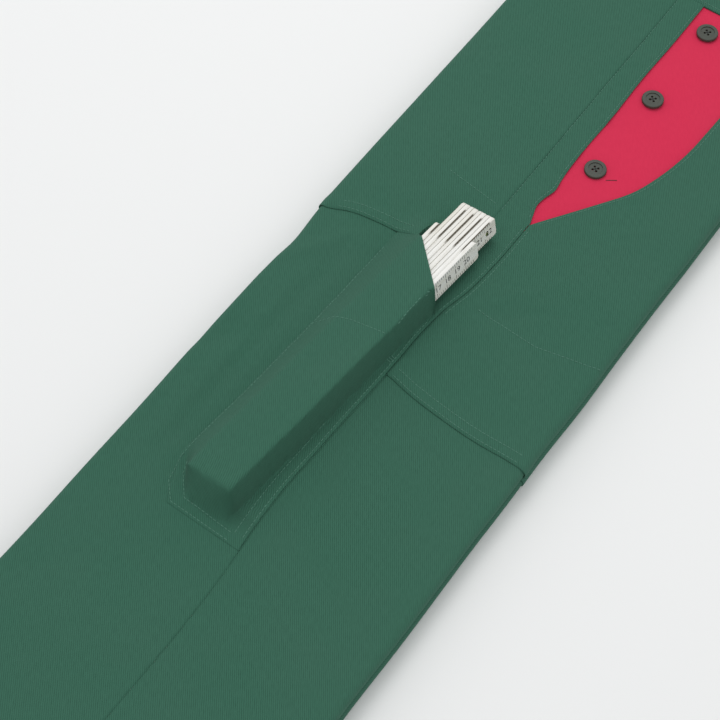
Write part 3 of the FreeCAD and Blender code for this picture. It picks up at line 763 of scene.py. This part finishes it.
def placket_height(x, y):
    """Outer face of the right placket strip, which waves most beside its free edge."""
    by_edge = np.exp(-np.maximum(placket_line(y) - x, 0) / (9 * MM))
    wave = 0.45 * ripple(0.5 * x, y, 13 * MM, 33, octaves=2) * (0.35 + 0.65 * by_edge) * smooth(y, 0.14, 0.165)
    by_seam = -0.9 * MM * np.exp(-((x + PLACKET_EDGE) / (1.3 * MM)) ** 2)
    flat = 0.5 * MM + by_seam + wave * MM
    raised = flat + leg_relief(x, y, LEG_SEED[RIGHT]) + puckers(x, y, seam_line, 71, 0.3 * MM)
    return raised + edge_roll(placket_edge(y) - x, 1.5 * MM, 0.45 * MM)


def underlap_height(x, y):
    """Outer face of the right underlap, behind the slit."""
    return UNDERLAP_OUT + leg_relief(x, y, LEG_SEED[RIGHT])


def make_slit():
    """Open side slit of the upper leg: green placket strip over the crimson underlap."""
    low, high = span("right_underlap")
    placket = flat_sheet("right_placket_cloth", RIGHT, PLACKET_START, high[1], level_line(low[0]),
                         placket_edge, placket_height, 0.7 * MM, step=1.6 * MM)
    cloth_piece(placket, GREEN_TWILL, ["right_placket"])
    underlap = flat_sheet("right_underlap_cloth", RIGHT, low[1], high[1], level_line(low[0] + 3 * MM),
                          level_line(high[0]), underlap_height, 0.5 * MM)
    cloth_piece(underlap, CRIMSON_CLOTH, ["right_underlap"])


def make_closed_slit(node, material):
    """One layer of the left leg's slit, which lies closed and flat against the table."""
    low, high = span(node)
    out = -((low[2] - TUBE_MIDDLE[LEFT]) + BEND)
    sheet = flat_sheet(node + "_cloth", LEFT, low[1], high[1], level_line(low[0]), level_line(high[0]),
                       lambda x, y: out + 0.1 * MM * ripple(x, y, 0.05, 3), (high[2] - low[2]) * 0.9)
    cloth_piece(sheet, material, [node])


CORNER_TOP = -127 * MM
CORNER_MIDDLE = POCKET_BOTTOM + 13 * MM
FOOT_LEFT = -57.5 * MM
POCKET_COLUMNS = 110


def pocket_side(y):
    """Left edge of the pocket's patch, with its lower corner cut off in two slopes."""
    line = float(POCKET_LEFT(y))
    if y >= CORNER_TOP:
        return line
    if y > CORNER_MIDDLE:
        return max(line, FOOT_LEFT - 0.47 * (y - POCKET_BOTTOM))
    return FOOT_LEFT - 0.6 * (y - POCKET_BOTTOM)


def make_pocket():
    """The pocket's cloth, with even steps along each row's own length so that steep sides stay fine.
    The rows lie closest beside the mouth's lower end, where the mouth climbs the sleeve's steep side."""
    low, high = MOUTH_RIGHT[1] - 5 * MM, MOUTH_RIGHT[1] + 8 * MM
    ys = [rows_between(POCKET_BOTTOM, low, 1.5 * MM), [POCKET_BOTTOM + 0.6 * MM],
          rows_between(low, high, 0.12 * MM), rows_between(high, POCKET_TOP, 1.5 * MM)]
    ys = np.unique(np.concatenate(ys))
    points = np.empty((len(ys), POCKET_COLUMNS, 3))
    uv = np.empty((len(ys), POCKET_COLUMNS, 2))
    for row, y in enumerate(ys):
        left = pocket_side(y)
        right = min(float(seam_line(y)) - 0.5 * MM, mouth_x(y))
        fine = np.linspace(left, right, 400)
        height = pocket_height(fine, np.full_like(fine, y))
        lengths = np.concatenate([[0], np.cumsum(np.hypot(np.diff(fine), np.diff(height)))])
        even = np.linspace(0, lengths[-1], POCKET_COLUMNS)
        x = np.interp(even, lengths, fine)
        z = np.interp(even, lengths, height)
        level = np.full_like(x, y)
        by_edge = np.minimum(np.minimum(x - left, right - x), y - POCKET_BOTTOM)
        z = z + edge_roll(by_edge, 1.3 * MM, 0.5 * MM) + leg_relief(x, level, LEG_SEED[RIGHT])
        z = z + 0.16 * MM * ripple(x, level, 0.03, 29) * smooth(z, 2 * MM, 6 * MM)
        points[row] = np.stack([x, level, TUBE_MIDDLE[RIGHT] + BEND + z], axis=-1)
        uv[row] = np.stack([left + even, level], axis=-1)
    pocket = thick_sheet("rule_pocket_cloth", points, uv, 0.75 * MM, COVERS)
    cloth_piece(pocket, GREEN_TWILL, ["rule_pocket"])


# ---------------------------------------------------------------- folding rule

LEAF_COUNT = 10
LEAF_THICK = 3.2 * MM
LEAF_PITCH = 3.5 * MM
LEAF_ROUND = 3 * MM
LEAF_SHORT = 24.5 * MM
NARROW_BEVEL = 0.15 * MM
WIDE_BEVEL = 0.8 * MM


def in_rule(u, s, z):
    """Shared-frame point from the rule's own frame: across, along from the tip, and up."""
    return RULE_TIP + RULE_ACROSS * u + RULE_ALONG * s + RULE_UP * z


def rounded_outline(low, high, half, radius, inset, corner_steps=8):
    """Points round a leaf's side view, as (along, up), with its corners rounded."""
    points = []
    radius = radius - inset
    corners = ((high, half, 0), (low, half, 90), (low, -half, 180), (high, -half, 270))
    for s, z, start in corners:
        middle_s = s - math.copysign(inset + radius, s - (low + high) / 2)
        middle_z = z - math.copysign(inset + radius, z)
        for step in range(corner_steps + 1):
            turn = math.radians(start + 90 * step / corner_steps)
            points.append((middle_s + radius * math.cos(turn), middle_z + radius * math.sin(turn)))
    return points


def make_leaf(number):
    """One leaf with eased edges. Leaves are riveted in pairs, and the edges between pairs are cut wider."""
    first_or_last = number in (0, LEAF_COUNT - 1)
    left = (number - LEAF_COUNT / 2) * LEAF_PITCH + (LEAF_PITCH - LEAF_THICK) / 2
    right = left + LEAF_THICK
    odd = number % 2 == 1
    left_bevel = WIDE_BEVEL if odd and number > 0 else NARROW_BEVEL
    right_bevel = NARROW_BEVEL if odd else WIDE_BEVEL
    if number == LEAF_COUNT - 1:
        left_bevel, right_bevel = NARROW_BEVEL, 2 * NARROW_BEVEL
    left_face, right_face = left + 0.03 * MM, right - 0.03 * MM
    levels = [(left_face, left_bevel, 0.0), (left_face, left_bevel, left_bevel), (left + left_bevel, 0.0, 0.0),
              (right - right_bevel, 0.0, 0.0), (right_face, right_bevel, right_bevel),
              (right_face, right_bevel, 0.0)]
    top = -LEAF_SHORT if first_or_last else 0.0
    points, uvs, faces = [], [], []
    for u, inset, groove in levels:
        for along, up in rounded_outline(-RULE_LONG, top, RULE_HALF_HIGH, LEAF_ROUND, inset):
            points.append(in_rule(u, along, up))
            # UV x marks the wide bevels between leaf pairs, where the leaf paint puts its painted groove shade
            uvs.append((groove / WIDE_BEVEL if groove > 2 * NARROW_BEVEL else 0.0, along))
    count = len(points) // len(levels)
    for level in (1, 2, 3):
        for i in range(count):
            j = (i + 1) % count
            a, b = level * count, (level + 1) * count
            faces.append((a + i, b + i, b + j, a + j))
    faces.append(tuple(range(count)))
    faces.append(tuple(reversed(range(len(points) - count, len(points)))))
    leaf = new_mesh("rule_leaf_paint_%02d" % (number + 1), points, faces, "folding_rule", uvs)
    turn_outwards(leaf)
    dress(leaf, LEAF_PAINT)
    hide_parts("rule_leaf_%02d" % (number + 1))


def turn_outwards(piece):
    """Point every face of a closed mesh outwards."""
    work = bmesh.new()
    work.from_mesh(piece.data)
    bmesh.ops.recalc_face_normals(work, faces=work.faces)
    work.to_mesh(piece.data)
    work.free()


PAINT_WHITE = (0.84, 0.83, 0.79)
PAINT_CREAM = (0.75, 0.72, 0.64)
PAINT_WORN = (0.58, 0.53, 0.43)
# Dark brown painted shade for the grooves between leaf pairs
GROOVE_SHADE_BROWN = (0.085, 0.07, 0.042)


def leaf_paint():
    """Aged white paint, with painted dark brown shade in the grooves between leaf pairs near the leaves' tips.
    """
    made, tree, shader = node_material("leaf_paint")
    uv = add(tree, "ShaderNodeSeparateXYZ")
    link(tree, add(tree, "ShaderNodeUVMap", uv_map="cloth").outputs["UV"], uv.inputs[0])
    source = scaled(tree, add(tree, "ShaderNodeTexCoord").outputs["Object"], (1, 0.1, 1))
    grain = noise(tree, source, 1100.0, 4.0)
    blotch = ranged(tree, noise(tree, source, 160.0, 3.0), 0.35, 0.7, 0, 1)
    paint = mixed(tree, blotch, rgba(PAINT_WHITE), rgba(PAINT_CREAM))
    worn = mixed(tree, ranged(tree, grain, 0.52, 0.75, 0, 0.35), paint, rgba(PAINT_WORN))
    # Painted shade: dark brown in the wide grooves between leaf pairs, from about 6 to 38 mm behind the tip
    near_tip = ranged(tree, uv.outputs["Y"], -38 * MM, -34 * MM, 0, 1)
    off_tip = ranged(tree, uv.outputs["Y"], -7 * MM, -5 * MM, 1, 0)
    in_groove = ranged(tree, uv.outputs["X"], 0.02, 0.3, 0, 1)
    groove_shade = combined(tree, "MULTIPLY", combined(tree, "MULTIPLY", near_tip, off_tip), in_groove)
    link(tree, mixed(tree, groove_shade, worn, rgba(GROOVE_SHADE_BROWN)), shader.inputs["Base Color"])
    link(tree, ranged(tree, grain, 0.3, 0.7, 0.38, 0.55), shader.inputs["Roughness"])
    roughen(tree, shader, grain, 0.25, 0.08 * MM)
    return made


LEAF_PAINT = leaf_paint()


def flat_mark(points, faces, u, s, z, wide, high):
    """A thin printed bar on a leaf's side face."""
    start = len(points)
    for proud in (0.0, 0.05 * MM):
        for ds, dz in ((-1, -1), (1, -1), (1, 1), (-1, 1)):
            points.append(in_rule(u + proud, s + ds * wide / 2, z + dz * high / 2))
    faces.extend(tuple(start + i for i in face) for face in
                 ((0, 3, 2, 1), (4, 5, 6, 7), (0, 1, 5, 4), (1, 2, 6, 5), (2, 3, 7, 6), (3, 0, 4, 7)))


def make_scale():
    """Millimetre ticks and plain numbers on the side faces that show."""
    points, faces = [], []
    last = ((LEAF_COUNT / 2) * LEAF_PITCH - (LEAF_PITCH - LEAF_THICK) / 2) - 0.03 * MM
    under = last - LEAF_PITCH
    outer_run = (last, -RULE_LONG + 8 * MM, -LEAF_SHORT - 5 * MM)
    under_run = (under, -LEAF_SHORT + 2 * MM, -6 * MM)
    for face, start, end in (outer_run, under_run):
        for number in range(int((end - start) / (2 * MM)) + 1):
            s = start + number * 2 * MM
            high = 4.2 * MM if number % 5 == 0 else 2.2 * MM
            middle = RULE_HALF_HIGH - 0.5 * MM - high / 2
            for edge in (1, -1):
                flat_mark(points, faces, face, s, edge * middle, 0.3 * MM, high)
    ticks = new_mesh("rule_ticks", points, faces, "folding_rule")
    dress(ticks, INK)

    numbers_points, numbers_faces = [], []
    for index, s in enumerate(np.arange(-LEAF_SHORT - 12 * MM, -RULE_LONG + 12 * MM, -10 * MM)):
        add_number(numbers_points, numbers_faces, str(20 - index % 20), last, float(s))
    for index, s in enumerate((-8 * MM, -18 * MM)):
        add_number(numbers_points, numbers_faces, str(22 - index), under, s)
    numbers = new_mesh("rule_numbers", numbers_points, numbers_faces, "folding_rule")
    dress(numbers, INK)


def add_number(points, faces, text, u, s):
    """A plain number, standing upright on a side face."""
    data = bpy.data.curves.new("number", "FONT")
    data.body = text
    data.size = 6.5 * MM
    data.align_x = "CENTER"
    data.align_y = "CENTER"
    data.resolution_u = 3
    maker = bpy.data.objects.new("number", data)
    bpy.context.scene.collection.objects.link(maker)
    mesh = bpy.data.meshes.new_from_object(maker)
    start = len(points)
    points.extend(in_rule(u + 0.05 * MM, s + vert.co.x, vert.co.y) for vert in mesh.vertices)
    faces.extend(tuple(start + i for i in face.vertices) for face in mesh.polygons)
    bpy.data.objects.remove(maker)
    bpy.data.meshes.remove(mesh)


# ---------------------------------------------------------------- stitching


def cloth_tree(names):
    """Ray-casting tree over several pieces of cloth."""
    points, faces = [], []
    for name in names:
        mesh = bpy.data.objects[name].data
        start = len(points)
        points.extend(vert.co.copy() for vert in mesh.vertices)
        faces.extend(tuple(start + i for i in face.vertices) for face in mesh.polygons)
    return BVHTree.FromPolygons(points, faces)


def even_steps(line, step):
    """Evenly spaced places along a line of (x, y) points in mm, with the direction at each, in metres."""
    corners = np.array(line, float) * MM
    runs = np.hypot(*np.diff(corners, axis=0).T)
    way = np.concatenate([[0], np.cumsum(runs)])
    marks = np.arange(step / 2, way[-1], step)
    x = np.interp(marks, way, corners[:, 0])
    y = np.interp(marks, way, corners[:, 1])
    after, before = marks + step / 2, marks - step / 2
    ahead_x = np.interp(after, way, corners[:, 0]) - np.interp(before, way, corners[:, 0])
    ahead_y = np.interp(after, way, corners[:, 1]) - np.interp(before, way, corners[:, 1])
    return zip(x, y, ahead_x, ahead_y)


STITCH_RADIUS = 0.27 * MM
STITCH_LONG = 2.3 * MM
STITCH_PITCH = 3.1 * MM


def add_stitch(points, faces, place, along, normal):
    """One stitch: a short thread whose ends dip into the cloth."""
    side = along.cross(normal).normalized()
    start = len(points)
    rings = ((-0.5, 0.35, -0.25), (-0.34, 0.9, 0.2), (0.0, 1.0, 0.42), (0.34, 0.9, 0.2), (0.5, 0.35, -0.25))
    for where, thick, lift in rings:
        centre = place + along * (STITCH_LONG * where) + normal * (STITCH_RADIUS * lift)
        for corner in range(6):
            turn = math.tau * corner / 6
            offset = side * math.cos(turn) + normal * math.sin(turn)
            points.append(centre + offset * (STITCH_RADIUS * thick))
    for ring in range(len(rings) - 1):
        for corner in range(6):
            a = start + ring * 6 + corner
            b = start + ring * 6 + (corner + 1) % 6
            faces.append((a, b, b + 6, a + 6))
    faces.append(tuple(start + corner for corner in reversed(range(6))))
    faces.append(tuple(start + len(rings) * 6 - 6 + corner for corner in range(6)))


def sew(name, leg, cloths, lines, material, pitch=STITCH_PITCH):
    """Rows of stitches laid on a leg's outer side along lines of (x, y) points in mm."""
    tree = cloth_tree(cloths)
    points, faces = [], []
    away = Vector((0, 0, OUTER[leg]))
    sunk = 0.0 if leg == RIGHT else STITCH_RADIUS * 1.3
    for line in lines:
        for x, y, ahead_x, ahead_y in even_steps(line, pitch):
            spot, normal, _, _ = tree.ray_cast(Vector((x, y, TUBE_MIDDLE[leg])) + away * 0.08, -away)
            if spot is None or abs(normal.z) < 0.25:
                continue
            normal = normal if normal.dot(away) > 0 else -normal
            along = Vector((ahead_x, ahead_y, 0))
            along = (along - normal * along.dot(normal)).normalized()
            add_stitch(points, faces, spot - normal * sunk, along, normal)
    sewn = new_mesh(name, points, faces, COVERS)
    dress(sewn, material)


def beside(line, ys, offset):
    """Points in mm at a distance beside a line x(y) of the leg."""
    return [(float(line(y * MM)) / MM + offset, y) for y in ys]


def along_hem(hem, xs, offset):
    """Points in mm at a distance above a hem y(x)."""
    return [(x, float(hem(x * MM)) / MM + offset) for x in xs]


POCKET_STITCHES = [
    [(-71, -126), (-66.5, -145), (-55.8, -156.2), (-9.5, -156.6)],
    [(-64.5, -128), (-62, -136), (-50.4, -149.2), (-11.6, -151.0)],
    [(-70.9, -126.8), (-69.5, -108), (-66, -70.8), (-64.4, -43.7), (-62, -1.5), (-60, 81)],
    [(-64.4, 0.4), (-37.2, 9.5), (-8.8, 11.9)],
]
BARTACKS = [((-7.2, 12.6), (-3.0, 12.0)), ((-7.4, 10.6), (-3.2, 10.0)), ((-7.6, 8.6), (-3.4, 8.0)),
            ((-6.6, 55.0), (-3.6, 57.4)), ((-6.4, 52.6), (-3.4, 55.0))]
BUTTONHOLE_BAR = [(32.6, 219.4), (38.2, 223.5)]


def sew_leg(leg):
    """Top-stitching of one leg's outer side."""
    right = leg == RIGHT
    cloths = [leg + "_front_cloth", leg + "_back_cloth", leg + "_front_over", leg + "_back_over",
              leg + "_hem_front", leg + "_hem_back", leg + "_waist_casing"]
    front = list(range(4, 112, 6))
    back = list(range(-106, -46, 6))
    lines = [along_hem(front_hem, front, 2.2), along_hem(front_hem, front, 8.4),
             along_hem(back_hem, back, 2.2), along_hem(back_hem, back, 8.2),
             [(-107, HEM_END / MM + 20), (106, HEM_END / MM + 20)],
             [(-114, WAIST_END / MM + 3), (110, WAIST_END / MM + 3)],
             [(-114, WAIST_END / MM + 42), (110, WAIST_END / MM + 42)],
             [(-61, 161), (-17.5, 155.5)], [(20.5, 75.7), (67.2, 73.8), (104.8, 82.1), (112, 84.5)]]
    if right:
        cloths += ["right_placket_cloth", "right_underlap_cloth", "rule_pocket_cloth"]
        seam_rows = list(range(60, 152, 6))
        lines += POCKET_STITCHES
        lines += [beside(seam_line, seam_rows, -2.2), beside(seam_line, seam_rows, 2.6)]
        lines += [beside(seam_line, range(-150, 50, 6), -2.4), beside(seam_line, range(-150, 50, 6), -8.6)]
        lines += [beside(placket_line, range(160, 398, 6), -2.0), [(-12.5, 154), (-12.5, 396)]]
        lines += [beside(free_edge, range(158, 396, 6), 2.6)]
    else:
        lines += [beside(seam_line, range(-540, 396, 6), -2.4)]
    sew(leg + "_stitches", leg, cloths, lines, THREAD)
    if right:
        sew("right_bartacks", leg, cloths, BARTACKS, THREAD, pitch=0.7 * MM)
        sew("right_button_bar", leg, cloths, [BUTTONHOLE_BAR], BUTTON_THREAD, pitch=1.2 * MM)


def thread_buttons(leg):
    """Crossed threads in the holes of each button."""
    low, high = span(leg + "_buttons")
    first = (low[1] + high[1]) / 2
    middle_x = (low[0] + high[0]) / 2
    pitch = (high[1] - low[1] - (high[0] - low[0])) / 2
    face = (high[2] if OUTER[leg] > 0 else low[2]) - OUTER[leg] * 0.55 * MM
    points, faces = [], []
    reach = 2.08 * MM * math.sqrt(0.5)
    for number in (-1, 0, 1):
        for turn in (1, -1):
            place = Vector((middle_x, first + number * pitch, face))
            along = Vector((reach, reach * turn, 0)).normalized()
            for half in (-0.6, 0.6):
                add_stitch(points, faces, place + along * (half * MM), along, Vector((0, 0, OUTER[leg])))
    threads = new_mesh(leg + "_button_threads", points, faces, COVERS)
    dress(threads, BUTTON_THREAD)


# ---------------------------------------------------------------- waist, belt and zips


def casing(leg):
    """Soft flat tube at the waist that the belt runs through."""
    low, high = span(leg + "_waistband")
    middle_y, middle_z = (low[1] + high[1]) / 2, (low[2] + high[2]) / 2
    half_wide, half_high = (high[1] - low[1]) / 2, (high[2] - low[2]) / 2
    xs = rows_between(low[0], high[0], 3 * MM)
    turns = np.linspace(0, math.tau, 57)[:-1]
    shape_y = np.sign(np.cos(turns)) * np.abs(np.cos(turns)) ** 0.35
    shape_z = np.sign(np.sin(turns)) * np.abs(np.sin(turns)) ** 0.55
    count = len(turns)
    points, uvs, faces = [], [], []
    for inset in (0.0, 0.7 * MM):
        for x in xs:
            wave = ripple(np.array(x), shape_y * half_wide, 0.03, 19, octaves=2)
            bulge = 0.25 * MM * wave * (1 - np.abs(shape_y) ** 6)
            ys = middle_y + shape_y * (half_wide - inset)
            zs = middle_z + shape_z * (half_high - inset - 0.2 * MM + bulge * 0.5 * np.sign(shape_z))
            points.extend(zip([x] * count, ys, zs))
            uvs.extend(zip([x] * count, ys + turns * half_high))
    rows = len(xs)
    for wall in (0, 1):
        for row in range(rows - 1):
            for i in range(count):
                j = (i + 1) % count
                a = (wall * rows + row) * count
                faces.append((a + i, a + j, a + count + j, a + count + i))
    for row in (0, rows - 1):
        for i in range(count):
            j = (i + 1) % count
            outer, inner = row * count, (rows + row) * count
            faces.append((outer + i, outer + j, inner + j, inner + i))
    tube = new_mesh(leg + "_waist_casing", points, faces, COVERS, uvs)
    turn_outwards(tube)
    cloth_piece(tube, GREEN_TWILL, [leg + "_waistband"])


def ribbon(name, route, low_y, high_y, thick, body, steps_per_bend=7, bend=12 * MM):
    """Flat webbing along an (x, z) route with rounded corners, from one edge height to the other."""
    way = [Vector((x, z)) for x, z in route]
    path = [way[0]]
    for before, here, after in zip(way, way[1:], way[2:]):
        to_before, to_after = (before - here).normalized(), (after - here).normalized()
        reach = min(bend, 0.49 * (before - here).length, 0.49 * (after - here).length)
        start, end = here + to_before * reach, here + to_after * reach
        for step in range(steps_per_bend + 1):
            t = step / steps_per_bend
            path.append(start.lerp(here, t).lerp(here.lerp(end, t), t))
    path.append(way[-1])
    fine = [path[0]]
    for here, there in zip(path, path[1:]):
        pieces = max(1, int((there - here).length / (5 * MM)))
        fine.extend(here.lerp(there, (step + 1) / pieces) for step in range(pieces))
    ys = rows_between(low_y, high_y, 3.3 * MM)
    edge = np.minimum(ys - low_y, high_y - ys)
    points = np.empty((len(fine), len(ys), 3))
    uv = np.empty((len(fine), len(ys), 2))
    way_along = 0.0
    for row, place in enumerate(fine):
        ahead = (fine[min(row + 1, len(fine) - 1)] - fine[max(row - 1, 0)]).normalized()
        out = Vector((-ahead.y, ahead.x)) * (thick / 2)
        soften = 1 - 0.35 * (1 - smooth(edge, 0, 2.5 * MM))
        points[row] = np.stack([place.x + out.x * soften, ys, place.y + out.y * soften], axis=-1)
        if row:
            way_along += (place - fine[row - 1]).length
        uv[row] = np.stack([ys, np.full_like(ys, way_along)], axis=-1)
    strip = thick_sheet(name, points[:, ::-1], uv[:, ::-1], thick, body)
    turn_outwards(strip)
    dress(strip, WEBBING)
    return strip, way_along


STRAP_JOIN = 251 * MM


def make_belt():
    """Webbing through both casings, back to the buckle's socket, and the strand that ends on its plug."""
    low, high = span("belt_webbing")
    socket_low, socket_high = span("buckle_socket")
    plug_high = span("buckle_plug")[1]
    thick = 1.4 * MM
    top_z = high[2] - thick / 2
    low_z = low[2] + thick / 2
    over_z = (socket_low[2] + socket_high[2]) / 2
    front = span("right_waistband")[1][0] + 6 * MM
    back = low[0] + thick / 2
    turn = high[0] - thick / 2
    start = socket_low[0] + 4 * MM
    end = STRAP_JOIN
    route = [(start, over_z), (start - 16 * MM, over_z), (front, top_z), (back, top_z), (back, low_z),
             (turn, low_z), (turn, over_z), (end, over_z)]
    belt, long = ribbon("belt_webbing_cloth", route, low[1], high[1], thick * 0.95, COVERS)
    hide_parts("belt_webbing")
    plug_end = plug_high[0] - 9 * MM
    strand_route = [(end - 1 * MM, over_z), (plug_end, over_z)]
    strand, long = ribbon("belt_plug_strand", strand_route, low[1], high[1], thick * 0.9, None)
    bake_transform(strand)


def make_zip_tapes(leg):
    """Woven tapes inside the back fold, on each side of the chain, from the teeth round onto the flat wall."""
    low, high = span(leg + "_zip_tapes")
    bend_radius = (high[2] - low[2]) / 2 - 0.1 * MM
    quarter = bend_radius * math.pi / 2
    by_teeth = 0.9 * MM
    wide = quarter + (high[0] - low[0] - bend_radius) - by_teeth
    for number, side in enumerate((1, -1)):
        y = rows_between(low[1], high[1], 4 * MM)[:, None]
        reach = by_teeth + wide * np.linspace(0, 1, 14)[None, :]
        turn = np.minimum(reach / bend_radius, math.pi / 2)
        x = low[0] + 0.1 * MM + bend_radius * (1 - np.cos(turn)) + np.maximum(reach - quarter, 0) + 0 * y
        z = TUBE_MIDDLE[leg] + side * bend_radius * np.sin(turn) + 0 * y
        y = y + 0 * reach
        uv = np.stack([reach + 0 * y, y], axis=-1)
        name = "%s_zip_tape_%d" % (leg, number + 1)
        tape = thick_sheet(name, np.stack([x, y, z], axis=-1), uv, 0.45 * MM, COVERS)
        turn_outwards(tape)
        dress(tape, ZIP_TAPE)
        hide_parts(leg + "_zip_tapes")


def finish_nodes():
    """Better materials on the CAD pieces that stay as they are."""
    finishes = [(BRASS, ["rule_joint_plates", "rule_rivets"]),
                (BUCKLE_PLASTIC, ["buckle_socket", "buckle_plug"])]
    for leg in (RIGHT, LEFT):
        metal = [leg + "_zip_slider", leg + "_zip_pull", leg + "_zip_stops"]
        finishes += [(BUTTON_PLASTIC, [leg + "_buttons"]), (ZIP_PLASTIC, [leg + "_zip_teeth"]),
                     (NICKEL, metal)]
    for material, nodes in finishes:
        for node in nodes:
            for place in bpy.data.objects[node].material_slots:
                place.material = material


make_leg(RIGHT)
make_leg(LEFT)
for each_leg in (RIGHT, LEFT):
    make_hem_band(each_leg)
    make_inside(each_leg)
    casing(each_leg)
    make_zip_tapes(each_leg)
    thread_buttons(each_leg)
make_slit()
make_closed_slit("left_placket", GREEN_TWILL)
make_closed_slit("left_underlap", CRIMSON_CLOTH)
make_pocket()
for each_leg in (RIGHT, LEFT):
    sew_leg(each_leg)
for leaf_number in range(LEAF_COUNT):
    make_leaf(leaf_number)
make_scale()
make_belt()
finish_nodes()

# ---------------------------------------------------------------- floor, light and camera


def make_stage():
    """Pale seamless floor."""
    size = 6.0
    mesh = bpy.data.meshes.new("floor")
    corners = [(-size, -size, 0), (size, -size, 0), (size, size, 0), (-size, size, 0)]
    mesh.from_pydata(corners, [], [(0, 1, 2, 3)])
    floor = bpy.data.objects.new("floor", mesh)
    bpy.context.scene.collection.objects.link(floor)
    made, _, shader = node_material("floor_white")
    shader.inputs["Base Color"].default_value = (0.86, 0.86, 0.85, 1)
    shader.inputs["Roughness"].default_value = 0.9
    mesh.materials.append(made)


def area_light(name, place, size, power):
    """Square light aimed at the origin."""
    data = bpy.data.lights.new(name, "AREA")
    data.shape = "SQUARE"
    data.size = size
    data.energy = power
    lamp = bpy.data.objects.new(name, data)
    bpy.context.scene.collection.objects.link(lamp)
    lamp.location = place
    lamp.rotation_mode = "QUATERNION"
    lamp.rotation_quaternion = (-Vector(place)).to_track_quat("-Z", "Y")


def make_lights():
    """Soft key from above and behind the leg covers, and an even white surround."""
    area_light("key", (-0.6, 0.9, 2.0), 1.1, 14)
    area_light("fill", (1.3, -1.2, 2.0), 2.0, 3)
    world = bpy.data.worlds.new("surround")
    world.use_nodes = True
    sky = world.node_tree.nodes["Background"].inputs
    sky["Color"].default_value = (0.97, 0.985, 1.0, 1)
    sky["Strength"].default_value = 0.78
    bpy.context.scene.world = world


CAMERA_AZIMUTH = 36.0
CAMERA_ELEVATION = 59.0
CAMERA_DISTANCE = 1.190
CAMERA_AIM = Vector((-0.0287, 0.0091, 0.0))
CAMERA_LENS = 88.2


def make_camera():
    """Camera that looks down on the pocket from the foot end."""
    data = bpy.data.cameras.new("camera")
    data.lens = CAMERA_LENS
    data.sensor_width = 36.0
    data.clip_start = 0.01
    camera = bpy.data.objects.new("camera", data)
    bpy.context.scene.collection.objects.link(camera)
    around = math.radians(CAMERA_AZIMUTH)
    up = math.radians(CAMERA_ELEVATION)
    back = Vector((math.sin(around) * math.cos(up), -math.cos(around) * math.cos(up), math.sin(up)))
    camera.location = CAMERA_AIM + back * CAMERA_DISTANCE
    camera.rotation_mode = "QUATERNION"
    camera.rotation_quaternion = (-back).to_track_quat("-Z", "Y")
    bpy.context.scene.camera = camera


make_stage()
make_lights()
make_camera()
bpy.context.scene.view_settings.view_transform = "Standard"
